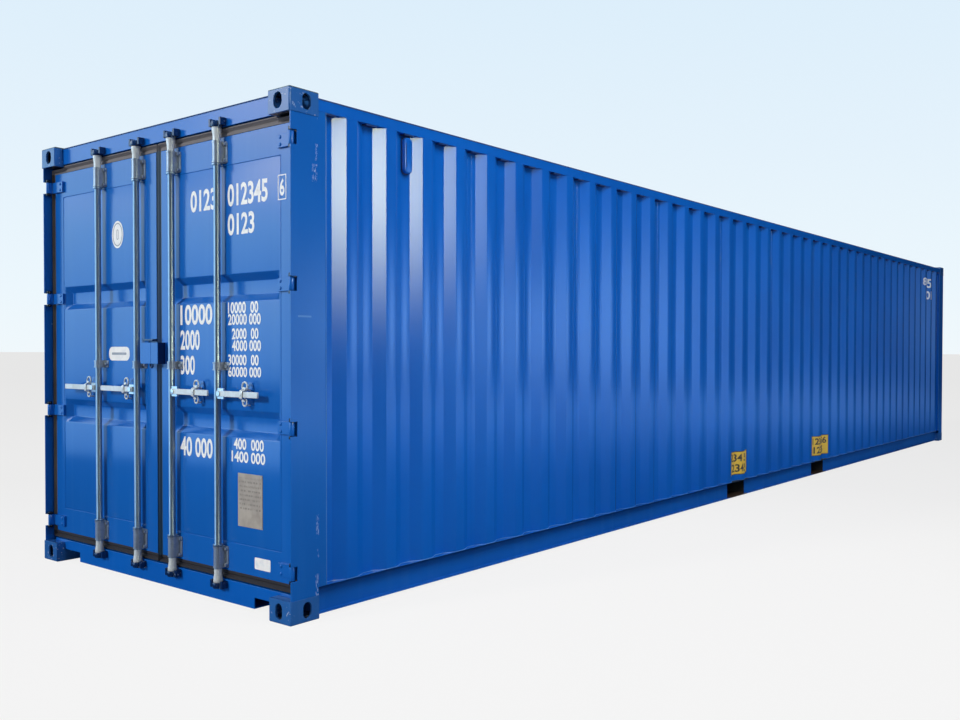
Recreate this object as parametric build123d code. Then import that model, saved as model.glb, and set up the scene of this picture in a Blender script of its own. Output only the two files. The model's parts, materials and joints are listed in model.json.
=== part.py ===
"""Forty foot steel freight container: a corrugated box with corner castings and two hinged doors.

+X runs along the length from the door end to the front end, +Y to the left side seen from the
doors, +Z up. The origin is the middle of the footprint, level with the foot of the bottom castings.
Sizes are in millimetres. A depth is a distance inwards from the casting plane of one end.
"""
from build123d import *
import os

# Overall size
length = 12192
width = 2438
height = 2591

# Corner castings
casting_length = 178
casting_width = 162
casting_height = 118
casting_outer_wall = 16
casting_inner_wall = 10
casting_plate = 28.5
casting_round = 8
aperture_length = 124.5
aperture_width = 63.5
aperture_from_end = 103.5
aperture_from_side = 89.5
face_hole_height = 79.5
face_hole_width = 51
top_end_hole_width = 63.5

# How far the steel skin stays inside the castings
skin_inset = 3
roof_inset = 6
base_lift = 17

# Side walls
sheet = 2
wall_outer_flat = 72
wall_slope = 68
wall_inner_flat = 70
wall_depth = 36
post_reach = 222

# Rails along the sides
top_rail_size = 60
top_rail_wall = 3
top_rail_drop = 28
bottom_rail_top = 162
bottom_rail_wall = 4.5
bottom_rail_recess = 49
bottom_rail_lip = 30

# Floor and what is under it
plywood = 28
floor_top = 170
cross_member_height = 122
cross_member_flange = 45
cross_member_wall = 4
cross_member_pitch = 300
cross_member_first = 330

# Fork pockets
pocket_width = 360
pocket_height = 115
pocket_spacing = 2050
pocket_plate = 4
pocket_strap = 300
pocket_strap_thickness = 6

# Gooseneck tunnel at the front end
tunnel_width = 1029
tunnel_length = 3315
tunnel_plate = 6

# Front wall
front_outer_flat = 110
front_slope = 18
front_inner_flat = 104
front_depth = 45.6
front_frame_depth = 60
front_frame_plate = 6
front_post_width = 86
front_header_drop = 141

# Roof
roof_rib_pitch = 209
roof_rib_width = 120
roof_rib_slope = 14
roof_rib_height = 20
roof_margin = 90

# Posts at both ends
post_plate = 6
post_body_width = 46
rear_post_edge = 8
door_seat_depth = 119

# Header and sill over and under the doors
door_face_depth = 52
door_frame_plate = 6
header_face_drop = 106
header_seat_drop = 141
sill_face_top = 134
sill_seat_top = 166
sill_notch_height = 75
sill_notch_width = 187

# Door leaves
leaf_face_depth = 64
leaf_thickness = 50
leaf_bottom = 180
leaf_top_drop = 155
leaf_from_side = 46
leaf_inner_edge = 25
stile_width = 100
leaf_rail_height = 150
leaf_frame_wall = 4
trough_opening = 142
trough_slope = 35
trough_depth = 36
trough_from_inner_edge = 115
trough_from_outer_edge = 115

# Gaskets round the leaves
gasket_from_side = 17
gasket_inner_edge = 5
gasket_bottom = 139
gasket_top_drop = 111
gasket_front_depth = 66
gasket_clearance = 0.5
gasket_casting_clearance = 6

# Hinges
hinge_count = 4
lowest_hinge_rise = 67
highest_hinge_drop = 85
hinge_pin_depth = 30
hinge_pin_from_side = 25
hinge_pin_radius = 8
hinge_running_gap = 0.3
lug_fit = 0.05
barrel_radius = 13
barrel_height = 66
hinge_end_gap = 2
lug_thickness = 14
lug_radius = 14
hinge_notch_height = 72
hinge_notch_depth = 47
blade_neck = 12
blade_thickness = 14
blade_width = 113
pin_head_radius = 12
pin_head_height = 4

# Lock rods
rod_radius = 17
rod_depth = 30
outer_rod_from_leaf_edge = 578
inner_rod_y = 175
rod_bottom = 85
rod_top_drop = 76
cam_radius = 30
cam_width = 20
cam_height = 30
cam_shaft_radius = 19
cam_shaft_height = 59
cam_end_gap = 5
collar_radius = 25
collar_height = 10
collar_gap = 3

# Brackets that hold the lock rods
sleeve_wall = 5
rod_running_gap = 0.4
bearing_height = 111
top_bearing_drop = 293
bottom_bearing_bottom = 194
guide_bottom = 1224
guide_height = 42
bracket_base_width = 90
guide_base_width = 110
bracket_base = 6

# Cam keepers
keeper_gap = 36
keeper_width = 16
keeper_height = 40
keeper_reach = 36
keeper_from_header_edge = 3
keeper_from_sill_edge = 6

# Door handles
handle_height = 1104
handle_reach = 360
handle_start = 20
handle_bar_height = 30
handle_bar_thickness = 10
handle_back_depth = 18
handle_pivot_offset = 39
handle_play = 1
hub_length = 66
hub_height = 54
hub_thickness = 10
hub_pin_radius = 8
hub_head_radius = 13
hub_head_height = 4
clasp_width = 34
clasp_height = 72
clasp_thickness = 5

# Handle retainers
retainer_offsets = {"right": 232, "left": 110}
retainer_width = 62
retainer_height = 133
retainer_ring_radius = 26
retainer_ring_bore = 13
retainer_ring_front = 26

# Lock box over the meeting edge of the leaves
lock_box_bottom = 1251
lock_box_height = 119
lock_box_front_depth = 10
lock_box_plate = 5
lock_box_seam = 3
lock_box_reach = {"right": 69, "left": 104}

# Data plate
plate_from_leaf_edge = 248
plate_width = 202
plate_bottom = 423
plate_top = 697
plate_thickness = 3

# Vents
vent_height = 195
vent_width = 66
vent_foot = 4.2
vent_proud = 30
vent_drop = 104
vent_bay = 1

# Places worked out from the sizes above
door_x = -length / 2
front_x = length / 2
half_width = width / 2
skin_y = half_width - skin_inset
wall_inner_y = skin_y - wall_depth
casting_y = half_width - casting_width
casting_top_z = height - casting_height
rail_top_z = height - top_rail_drop
rail_bottom_z = rail_top_z - top_rail_size
web_y = half_width - bottom_rail_recess
web_inner_y = web_y - bottom_rail_wall
floor_bottom = floor_top - plywood
post_inner_y = skin_y - post_body_width
front_post_inner_y = skin_y - front_post_width
roof_top = height - roof_inset
rail_length = length - 2 * casting_length
pocket_top = floor_bottom - pocket_plate
pocket_bottom = pocket_top - pocket_height
header_face_bottom = height - header_face_drop
header_seat_bottom = height - header_seat_drop
front_header_bottom = height - front_header_drop
leaf_top = height - leaf_top_drop
leaf_outer_edge = half_width - leaf_from_side
gasket_outer_edge = half_width - gasket_from_side
gasket_top = height - gasket_top_drop
hinge_pin_y = half_width - hinge_pin_from_side
lowest_hinge = leaf_bottom + lowest_hinge_rise
hinge_spacing = (leaf_top - highest_hinge_drop - lowest_hinge) / (hinge_count - 1)
hinge_heights = [lowest_hinge + index * hinge_spacing for index in range(hinge_count)]
trough_heights = hinge_heights[1:-1]
rod_positions = {"outer": leaf_outer_edge - outer_rod_from_leaf_edge, "inner": inner_rod_y}
rod_top = height - rod_top_drop
top_bearing_bottom = height - top_bearing_drop
plate_outer_y = leaf_outer_edge - plate_from_leaf_edge
plate_inner_y = plate_outer_y - plate_width
vent_top = height - vent_drop
wall_length = length - 2 * post_reach
wall_pitch = wall_outer_flat + wall_inner_flat + 2 * wall_slope
wall_ribs = int((wall_length - wall_inner_flat) / wall_pitch)
first_rib = door_x + post_reach + (wall_length - wall_ribs * wall_pitch + wall_inner_flat) / 2


def block(x0, x1, y0, y1, z0, z1):
    """Box between two opposite corners."""
    centre = Pos((x0 + x1) / 2, (y0 + y1) / 2, (z0 + z1) / 2)
    return centre * Box(abs(x1 - x0), abs(y1 - y0), abs(z1 - z0))


def upright(x, y, z0, z1, radius):
    """Upright cylinder."""
    return Pos(x, y, (z0 + z1) / 2) * Cylinder(radius, z1 - z0)


def door_block(depth0, depth1, y0, y1, z0, z1):
    """Box at the door end, its length given as depths."""
    return block(door_x + depth0, door_x + depth1, y0, y1, z0, z1)


def front_block(depth0, depth1, y0, y1, z0, z1):
    """Box at the front end, its length given as depths."""
    return block(front_x - depth1, front_x - depth0, y0, y1, z0, z1)


def other_side(shape):
    """The same piece on the right hand side."""
    return mirror(shape, about=Plane.XZ)


def both_sides(shape):
    """A left hand piece together with its right hand twin."""
    return [shape, other_side(shape)]


def to_side(shape, side):
    """A piece drawn for the left hand door, moved to the named side."""
    if side == "left":
        return shape
    return other_side(shape)


def joined(pieces):
    """One body from pieces that touch."""
    body = pieces[0]
    for piece in pieces[1:]:
        body = body + piece
    return body


def prism(points, plane, amount):
    """Closed outline on a plane, pushed along the plane's normal."""
    outline = make_face(Polyline(*points, close=True))
    return extrude(plane * outline, amount)


def corrugation(start, end, first, ribs, flat, slope, gap, low, high):
    """Points of a ribbed line: low flats between raised flats, the first rise starting at first."""
    points = [(start, low)]
    for index in range(ribs):
        foot = first + index * (2 * slope + flat + gap)
        points += [(foot, low), (foot + slope, high), (foot + slope + flat, high)]
        points += [(foot + 2 * slope + flat, low)]
    points.append((end, low))
    return points


def sheet_outline(points, thickness):
    """Closed outline of a bent sheet that lies under the given line."""
    under = [(along, across - thickness) for along, across in reversed(points)]
    return points + under


def ribbed_sheet_prism(points, plane, amount):
    """Bent sheet pushed along the plane's normal."""
    return prism(sheet_outline(points, sheet), plane, amount)


def corner_casting(end_hole_width):
    """Hollow casting of the front left foot: long slot below, upright slots in its two outer faces."""
    x0 = front_x - casting_length
    y0 = casting_y
    body = block(x0, front_x, y0, half_width, 0, casting_height)
    outer = body.edges().filter_by(lambda edge: sum((
        edge.center().X > front_x - casting_round,
        edge.center().Y > half_width - casting_round,
        edge.center().Z < casting_round)) == 2)
    body = fillet(outer, casting_round)
    cavity = block(x0 + casting_inner_wall, front_x - casting_outer_wall,
                   y0 + casting_inner_wall, half_width - casting_outer_wall,
                   casting_plate, casting_height - casting_outer_wall)
    slot_x = front_x - aperture_from_end
    slot_y = half_width - aperture_from_side
    middle = casting_height / 2
    slot = Pos(slot_x, slot_y, 0) * extrude(SlotOverall(aperture_length, aperture_width), casting_plate)
    side_plane = Plane(origin=(slot_x, half_width, middle), x_dir=(1, 0, 0), z_dir=(0, -1, 0))
    side_hole = extrude(side_plane * SlotOverall(face_hole_height, face_hole_width, rotation=90),
                        casting_outer_wall)
    end_plane = Plane(origin=(front_x, slot_y, middle), x_dir=(0, 1, 0), z_dir=(-1, 0, 0))
    end_hole = extrude(end_plane * SlotOverall(face_hole_height, end_hole_width, rotation=90),
                       casting_outer_wall)
    return body - cavity - slot - side_hole - end_hole


def castings(end, level):
    """Both castings of one end at one level."""
    piece = corner_casting(top_end_hole_width if level == "top" else face_hole_width)
    if level == "top":
        piece = mirror(piece, about=Plane.XY.offset(height / 2))
    if end == "door":
        piece = mirror(piece, about=Plane.YZ)
    return both_sides(piece)


def side_wall():
    """Left side wall: sheet with upright ribs, its raised flats level with the post faces."""
    line = corrugation(door_x + post_reach, front_x - post_reach, first_rib, wall_ribs,
                       wall_outer_flat, wall_slope, wall_inner_flat, wall_inner_y, skin_y)
    return ribbed_sheet_prism(line, Plane.XY.offset(bottom_rail_top), rail_bottom_z - bottom_rail_top)


def top_rail():
    """Left top side rail, a square tube."""
    outer = block(door_x + casting_length, front_x - casting_length,
                  skin_y - top_rail_size, skin_y, rail_bottom_z, rail_top_z)
    inner = block(door_x + casting_length, front_x - casting_length,
                  skin_y - top_rail_size + top_rail_wall, skin_y - top_rail_wall,
                  rail_bottom_z + top_rail_wall, rail_top_z - top_rail_wall)
    return outer - inner


def bottom_rail():
    """Left bottom side rail, a channel that opens outwards, in three lengths between the fork pockets."""
    mouths = [-pocket_spacing / 2, pocket_spacing / 2]
    starts = [door_x + casting_length] + [middle + pocket_width / 2 for middle in mouths]
    ends = [middle - pocket_width / 2 for middle in mouths] + [front_x - casting_length]
    lengths = []
    for x0, x1 in zip(starts, ends):
        web = block(x0, x1, web_inner_y, web_y, base_lift, bottom_rail_top)
        flange = block(x0, x1, web_inner_y, skin_y, bottom_rail_top - bottom_rail_wall, bottom_rail_top)
        lip = block(x0, x1, web_inner_y, web_y + bottom_rail_lip, base_lift, base_lift + bottom_rail_wall)
        lengths.append(joined([web, flange, lip]))
    return lengths


def pocket_top_plate(middle):
    """Plate over one fork pocket, with the strip of side rail over each mouth."""
    x0 = middle - pocket_width / 2
    x1 = middle + pocket_width / 2
    pieces = [block(x0 - pocket_plate, x1 + pocket_plate, -web_inner_y, web_inner_y,
                    pocket_top, floor_bottom)]
    for side in (-1, 1):
        pieces.append(block(x0, x1, side * web_inner_y, side * web_y, pocket_top, bottom_rail_top))
        pieces.append(block(x0, x1, side * web_inner_y, side * skin_y,
                            bottom_rail_top - bottom_rail_wall, bottom_rail_top))
    return joined(pieces)


def pocket_side_plates(middle):
    """Plates across the base on both sides of one fork pocket."""
    plates = []
    for edge in (middle - pocket_width / 2 - pocket_plate, middle + pocket_width / 2):
        plates.append(block(edge, edge + pocket_plate, -web_inner_y, web_inner_y, base_lift, pocket_top))
    return plates


def pocket_straps(middle):
    """Strap plate under each mouth of one fork pocket."""
    straps = []
    for side in (-1, 1):
        straps.append(block(middle - pocket_width / 2, middle + pocket_width / 2,
                            side * (web_inner_y - pocket_strap), side * (web_y + bottom_rail_lip),
                            pocket_bottom - pocket_strap_thickness, pocket_bottom))
    return straps


def cross_member(x, y0, y1):
    """Channel across the base under the floor."""
    web = block(x, x + cross_member_wall, y0, y1, floor_bottom - cross_member_height, floor_bottom)
    top = block(x, x + cross_member_flange, y0, y1, floor_bottom - cross_member_wall, floor_bottom)
    foot = block(x, x + cross_member_flange, y0, y1, floor_bottom - cross_member_height,
                 floor_bottom - cross_member_height + cross_member_wall)
    return joined([web, top, foot])


def cross_members():
    """All channels: whole ones, and short ones beside the gooseneck tunnel."""
    members = []
    tunnel_start = front_x - tunnel_length
    pocket_reach = pocket_width / 2 + pocket_plate + cross_member_flange
    count = int((length - 2 * cross_member_first) / cross_member_pitch) + 1
    for index in range(count):
        x = door_x + cross_member_first + index * cross_member_pitch
        if min(abs(x - pocket_spacing / 2), abs(x + pocket_spacing / 2)) < pocket_reach:
            continue
        if x + cross_member_flange < tunnel_start:
            members.append(cross_member(x, -web_inner_y, web_inner_y))
        elif x > tunnel_start:
            half_tunnel = tunnel_width / 2 + tunnel_plate
            members += both_sides(cross_member(x, half_tunnel, web_inner_y))
    return members


def tunnel_top():
    """Top plate of the gooseneck tunnel, under the front of the floor."""
    half = tunnel_width / 2 + tunnel_plate
    return block(front_x - tunnel_length, front_x - skin_inset - front_frame_depth, -half, half,
                 floor_bottom - tunnel_plate, floor_bottom)


def tunnel_side():
    """Left side plate of the gooseneck tunnel."""
    half = tunnel_width / 2
    return block(front_x - tunnel_length, front_x - skin_inset - front_frame_depth,
                 half, half + tunnel_plate,
                 floor_bottom - cross_member_height, floor_bottom - tunnel_plate)


def floor_deck():
    """Plywood deck."""
    return block(door_x + casting_length, front_x - skin_inset - front_frame_depth,
                 -web_inner_y, web_inner_y, floor_bottom, floor_top)


def rib_frustum(x, z):
    """Raised rib of the roof: a long low frustum across the width."""
    foot_length = 2 * (half_width - roof_margin)
    foot = Plane.XY.offset(z) * Pos(x, 0) * Rectangle(roof_rib_width, foot_length)
    crown = Plane.XY.offset(z + roof_rib_height) * Pos(x, 0) * Rectangle(
        roof_rib_width - 2 * roof_rib_slope, foot_length - 2 * roof_rib_slope)
    return loft(Sketch() + [foot, crown])


def roof():
    """Roof sheet on the top rails, with raised ribs across it."""
    under = rail_top_z
    x0 = door_x + casting_length
    x1 = front_x - casting_length
    deck = block(x0, x1, -skin_y, skin_y, under, under + sheet)
    count = int((rail_length - roof_rib_width) / roof_rib_pitch)
    places = [(index - (count - 1) / 2) * roof_rib_pitch for index in range(count)]
    deck = deck + [rib_frustum(x, under + sheet) for x in places]
    return deck - [rib_frustum(x, under) for x in places]


def rear_post():
    """Left post of the door end: hollow body behind the leaf, side plate with hinge notches and lugs."""
    z0 = casting_height
    z1 = rail_bottom_z
    plate = door_block(rear_post_edge, post_reach, skin_y - post_plate, skin_y, z0, z1)
    body = door_block(door_seat_depth, post_reach, post_inner_y, skin_y, z0, z1)
    hollow = door_block(door_seat_depth + post_plate, post_reach - post_plate,
                        post_inner_y + post_plate, skin_y - post_plate, z0, z1)
    post = plate + body - hollow
    post = post - door_block(casting_length, post_reach, 0, half_width, z0, bottom_rail_top)
    post = post - door_block(0, casting_length, 0, half_width, casting_top_z, z1)
    pin_x = door_x + hinge_pin_depth
    for middle in hinge_heights:
        post = post - door_block(0, hinge_notch_depth, hinge_pin_y, half_width,
                                 middle - hinge_notch_height / 2, middle + hinge_notch_height / 2)
        for direction in (-1, 1):
            near = middle + direction * (barrel_height / 2 + hinge_end_gap)
            far = near + direction * lug_thickness
            low = min(near, far)
            high = max(near, far)
            arm = block(pin_x - lug_radius, pin_x + lug_radius, hinge_pin_y, skin_y - post_plate, low, high)
            lug = arm + upright(pin_x, hinge_pin_y, low, high, lug_radius)
            post = post + (lug - upright(pin_x, hinge_pin_y, low, high, hinge_pin_radius + lug_fit))
    return post


def hinge_pin(middle):
    """Pin through the two lugs of one hinge, its head on the upper lug."""
    reach = barrel_height / 2 + hinge_end_gap + lug_thickness
    x = door_x + hinge_pin_depth
    shank = upright(x, hinge_pin_y, middle - reach, middle + reach, hinge_pin_radius)
    head = upright(x, hinge_pin_y, middle + reach, middle + reach + pin_head_height, pin_head_radius)
    return shank + head


def front_post():
    """Left post of the front end, a hollow angle."""
    z0 = casting_height
    z1 = rail_bottom_z
    seat = skin_inset + front_frame_depth
    wall = post_plate
    leg = front_block(skin_inset, seat, front_post_inner_y, skin_y, z0, z1)
    leg = leg + front_block(seat, post_reach, post_inner_y, skin_y, z0, z1)
    void = front_block(skin_inset + wall, seat - wall, front_post_inner_y + wall, skin_y - wall, z0, z1)
    void = void + front_block(seat - wall, post_reach - wall, post_inner_y + wall, skin_y - wall, z0, z1)
    post = leg - void
    post = post - front_block(casting_length, post_reach, 0, half_width, z0, bottom_rail_top)
    return post - front_block(0, casting_length, 0, half_width, casting_top_z, z1)


def front_header():
    """Top cross piece of the front end."""
    near = skin_inset
    far = skin_inset + front_frame_depth
    plate = front_frame_plate
    lower_y = front_post_inner_y
    top = roof_top
    back = casting_length
    pieces = [
        front_block(near, near + plate, -casting_y, casting_y, casting_top_z, top),
        front_block(near, near + plate, -lower_y, lower_y, front_header_bottom, casting_top_z),
        front_block(near, far, -lower_y, lower_y, front_header_bottom, front_header_bottom + plate),
        front_block(near, back, -casting_y, casting_y, top - plate, top),
        front_block(far - plate, far, -casting_y, casting_y, casting_top_z, top),
        front_block(far - plate, far, -lower_y, lower_y, front_header_bottom, casting_top_z),
        front_block(back - plate, back, -casting_y, casting_y, rail_bottom_z, top),
    ]
    return joined(pieces)


def front_sill():
    """Bottom cross piece of the front end, over the mouth of the gooseneck tunnel."""
    near = skin_inset
    far = skin_inset + front_frame_depth
    plate = front_frame_plate
    y = front_post_inner_y
    face = front_block(near, near + plate, -y, y, floor_bottom - tunnel_plate, bottom_rail_top)
    return face + front_block(near, far, -y, y, bottom_rail_top - plate, bottom_rail_top)


def front_sill_foot():
    """Left foot of the front sill, between the tunnel's mouth and the casting."""
    near = skin_inset
    far = skin_inset + front_frame_depth
    plate = front_frame_plate
    top = floor_bottom - tunnel_plate
    y0 = tunnel_width / 2
    face = front_block(near, near + plate, y0, casting_y, base_lift, top)
    side = front_block(near, near + plate, y0, front_post_inner_y, casting_height, top)
    return face + side + front_block(near, far, y0, casting_y, base_lift, base_lift + plate)


def front_wall():
    """Front wall sheet with upright ribs between the front posts."""
    pitch = front_outer_flat + front_inner_flat + 2 * front_slope
    span = 2 * front_post_inner_y
    ribs = int(span / pitch)
    first = -(ribs * pitch - front_inner_flat) / 2
    inner = skin_inset + front_depth
    line = corrugation(-front_post_inner_y, front_post_inner_y, first, ribs, front_outer_flat, front_slope,
                       front_inner_flat, -inner, -skin_inset)
    plane = Plane(origin=(front_x, 0, bottom_rail_top), x_dir=(0, -1, 0), z_dir=(0, 0, 1))
    return ribbed_sheet_prism(line, plane, front_header_bottom - bottom_rail_top)


def door_header():
    """Top cross piece of the door end: face plate, gasket seat behind the leaves, cover plate."""
    plate = door_frame_plate
    face = door_face_depth
    seat = door_seat_depth
    back = casting_length
    seat_y = post_inner_y
    pieces = [
        door_block(face, face + plate, -casting_y, casting_y, header_face_bottom, roof_top),
        door_block(face, seat + plate, -casting_y, casting_y, header_face_bottom,
                   header_face_bottom + plate),
        door_block(seat, seat + plate, -casting_y, casting_y, casting_top_z, header_face_bottom + plate),
        door_block(seat, seat + plate, -seat_y, seat_y, header_seat_bottom, casting_top_z),
        door_block(seat, back, -seat_y, seat_y, header_seat_bottom, header_seat_bottom + plate),
        door_block(back - plate, back, -seat_y, seat_y, header_seat_bottom, casting_top_z),
        door_block(back - plate, back, -casting_y, casting_y, casting_top_z, roof_top),
        door_block(face, back, -casting_y, casting_y, roof_top - plate, roof_top),
    ]
    return joined(pieces)


def door_sill():
    """Bottom cross piece of the door end: face plate, gasket seat, and notches beside the castings."""
    plate = door_frame_plate
    face = door_face_depth
    seat = door_seat_depth
    back = casting_length
    seat_y = post_inner_y
    pieces = [
        door_block(face, face + plate, -casting_y, casting_y, base_lift, casting_height),
        door_block(face, face + plate, -seat_y, seat_y, casting_height, sill_face_top),
        door_block(face, seat, -seat_y, seat_y, sill_face_top - plate, sill_face_top),
        door_block(seat, seat + plate, -seat_y, seat_y, sill_face_top - plate, sill_seat_top),
        door_block(seat, back, -seat_y, seat_y, sill_seat_top - plate, sill_seat_top),
        door_block(face, back, -casting_y, casting_y, base_lift, base_lift + plate),
        door_block(back - plate, back, -casting_y, casting_y, base_lift, casting_height),
        door_block(back - plate, back, -seat_y, seat_y, casting_height, sill_seat_top),
    ]
    sill = joined(pieces)
    for side in (-1, 1):
        sill = sill - door_block(0, back, side * (casting_y - sill_notch_width), side * casting_y,
                                 0, sill_notch_height)
    return sill


def keeper_pair(rod_y, face_depth, z0):
    """Two jaws on the door frame, one each side of a cam."""
    jaws = []
    for direction in (-1, 1):
        jaws.append(door_block(face_depth - keeper_reach, face_depth,
                               rod_y + direction * keeper_gap,
                               rod_y + direction * (keeper_gap + keeper_width),
                               z0, z0 + keeper_height))
    return jaws


def cam_keepers():
    """Keepers of all four rods on the header and on the sill."""
    jaws = []
    for rod_y in rod_positions.values():
        top_z = header_face_bottom + keeper_from_header_edge
        foot_z = sill_face_top - keeper_from_sill_edge - keeper_height
        for z0 in (top_z, foot_z):
            for jaw in keeper_pair(rod_y, door_face_depth, z0):
                jaws += both_sides(jaw)
    return jaws


def leaf_frame():
    """Tube frame of the left leaf."""
    face = leaf_face_depth
    back = leaf_face_depth + leaf_thickness
    wall = leaf_frame_wall
    outer = door_block(face, back, leaf_inner_edge, leaf_outer_edge, leaf_bottom, leaf_top)
    opening = door_block(face, back, leaf_inner_edge + stile_width, leaf_outer_edge - stile_width,
                         leaf_bottom + leaf_rail_height, leaf_top - leaf_rail_height)
    core = door_block(face + wall, back - wall, leaf_inner_edge + wall, leaf_outer_edge - wall,
                      leaf_bottom + wall, leaf_top - wall)
    around = door_block(face + wall, back - wall,
                        leaf_inner_edge + stile_width - wall, leaf_outer_edge - stile_width + wall,
                        leaf_bottom + leaf_rail_height - wall, leaf_top - leaf_rail_height + wall)
    return outer - opening - (core - around)


def trough(middle_z, depth):
    """Trough pressed into a leaf panel, as a frustum from the given depth inwards."""
    y0 = leaf_inner_edge + trough_from_inner_edge
    y1 = leaf_outer_edge - trough_from_outer_edge
    middle_y = (y0 + y1) / 2
    mouth = Plane(origin=(door_x + depth, middle_y, middle_z), x_dir=(0, 1, 0), z_dir=(1, 0, 0))
    bed = mouth.offset(trough_depth)
    wide = mouth * Rectangle(y1 - y0, trough_opening)
    narrow = bed * Rectangle(y1 - y0 - 2 * trough_slope, trough_opening - 2 * trough_slope)
    return loft(Sketch() + [wide, narrow])


def leaf_panel():
    """Sheet panel of the left leaf with its pressed troughs."""
    face = leaf_face_depth
    panel = door_block(face, face + sheet, leaf_inner_edge + stile_width, leaf_outer_edge - stile_width,
                       leaf_bottom + leaf_rail_height, leaf_top - leaf_rail_height)
    for middle in trough_heights:
        panel = panel + trough(middle, face + sheet)
    for middle in trough_heights:
        panel = panel - trough(middle, face)
    return panel


def leaf_gasket():
    """Rubber seal round the left leaf, lower beside the top casting."""
    front = gasket_front_depth
    back = door_seat_depth - gasket_clearance
    low_top = casting_top_z - gasket_casting_clearance
    ring = door_block(front, back, gasket_inner_edge, gasket_outer_edge, gasket_bottom, low_top)
    ring = ring + door_block(front, back, gasket_inner_edge, casting_y - gasket_casting_clearance,
                             low_top, gasket_top)
    return ring - door_block(front, back, leaf_inner_edge, leaf_outer_edge, leaf_bottom, leaf_top)


def hinge_blade(middle):
    """Blade of one hinge: barrel round the pin, neck past the leaf's edge, strap on the leaf's face."""
    pin_x = door_x + hinge_pin_depth
    face = leaf_face_depth
    neck_y = hinge_pin_y - barrel_radius
    z0 = middle - barrel_height / 2
    z1 = middle + barrel_height / 2
    barrel = upright(pin_x, hinge_pin_y, z0, z1, barrel_radius)
    neck = door_block(hinge_pin_depth, face, neck_y, neck_y + blade_neck, z0, z1)
    strap = door_block(face - blade_thickness, face, leaf_outer_edge - blade_width, neck_y, z0, z1)
    bore = upright(pin_x, hinge_pin_y, z0, z1, hinge_pin_radius + hinge_running_gap)
    return barrel + neck + strap - bore


def rod_bracket(rod_y, z0, bracket_height, base_width):
    """Bracket on a leaf's face with a sleeve round a lock rod."""
    x = door_x + rod_depth
    z1 = z0 + bracket_height
    bore = rod_radius + rod_running_gap
    outer = bore + sleeve_wall
    sleeve = upright(x, rod_y, z0, z1, outer)
    saddle = door_block(rod_depth, leaf_face_depth, rod_y - outer, rod_y + outer, z0, z1)
    base = door_block(leaf_face_depth - bracket_base, leaf_face_depth,
                      rod_y - base_width / 2, rod_y + base_width / 2, z0, z1)
    return sleeve + saddle + base - upright(x, rod_y, z0, z1, bore)


def handle_retainer(y):
    """Plate behind a handle with a ring above and below the bar."""
    face = leaf_face_depth
    z0 = handle_height - retainer_height / 2
    z1 = handle_height + retainer_height / 2
    plate = door_block(face - bracket_base, face, y - retainer_width / 2, y + retainer_width / 2, z0, z1)
    piece = plate
    for middle in (z0 + retainer_ring_radius, z1 - retainer_ring_radius):
        plane = Plane(origin=(door_x + face, y, middle), z_dir=(-1, 0, 0))
        ring = Circle(retainer_ring_radius) - Circle(retainer_ring_bore)
        piece = piece + extrude(plane * ring, face - retainer_ring_front)
        piece = piece - extrude(plane * Circle(retainer_ring_bore), face)
    return piece


def rod_fittings(side):
    """Bearings, guides and handle retainers on one leaf, drawn for the left leaf."""
    pieces = []
    for rod_y in rod_positions.values():
        pieces.append(rod_bracket(rod_y, top_bearing_bottom, bearing_height, bracket_base_width))
        pieces.append(rod_bracket(rod_y, bottom_bearing_bottom, bearing_height, bracket_base_width))
        pieces.append(rod_bracket(rod_y, guide_bottom, guide_height, guide_base_width))
        pieces.append(handle_retainer(rod_y + retainer_offsets[side]))
    return pieces


def lock_rod(rod_y):
    """Lock rod with a cam at each end, two collars, and the hub and pin that carry the handle."""
    x = door_x + rod_depth
    rod = upright(x, rod_y, rod_bottom, rod_top, rod_radius)
    shaft_top = leaf_top - cam_end_gap
    rod = rod + upright(x, rod_y, shaft_top, shaft_top + cam_shaft_height, cam_shaft_radius)
    shaft_foot = leaf_bottom + cam_end_gap
    rod = rod + upright(x, rod_y, shaft_foot - cam_shaft_height, shaft_foot, cam_shaft_radius)
    for z1 in (rod_top - cam_end_gap, rod_bottom + cam_end_gap + cam_height):
        prong = block(x - cam_width / 2, x + cam_width / 2, rod_y, rod_y + cam_radius, z1 - cam_height, z1)
        rod = rod + prong
    collar_low = top_bearing_bottom - collar_gap - collar_height
    collar_high = bottom_bearing_bottom + bearing_height + collar_gap
    for z0 in (collar_low, collar_high):
        rod = rod + upright(x, rod_y, z0, z0 + collar_height, collar_radius)
    hub_front = handle_back_depth + handle_play
    hub = door_block(hub_front, hub_front + hub_thickness, rod_y, rod_y + hub_length,
                     handle_height - hub_height / 2, handle_height + hub_height / 2)
    rod = rod + hub
    plane = Plane(origin=(door_x + hub_front, rod_y + handle_pivot_offset, handle_height), z_dir=(-1, 0, 0))
    bar_front = handle_back_depth - handle_bar_thickness
    pin_length = hub_front - bar_front + handle_play + hub_head_height
    pin = extrude(plane * Circle(hub_pin_radius), pin_length)
    head = extrude(plane.offset(pin_length - hub_head_height) * Circle(hub_head_radius), hub_head_height)
    return rod + pin + head


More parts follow.
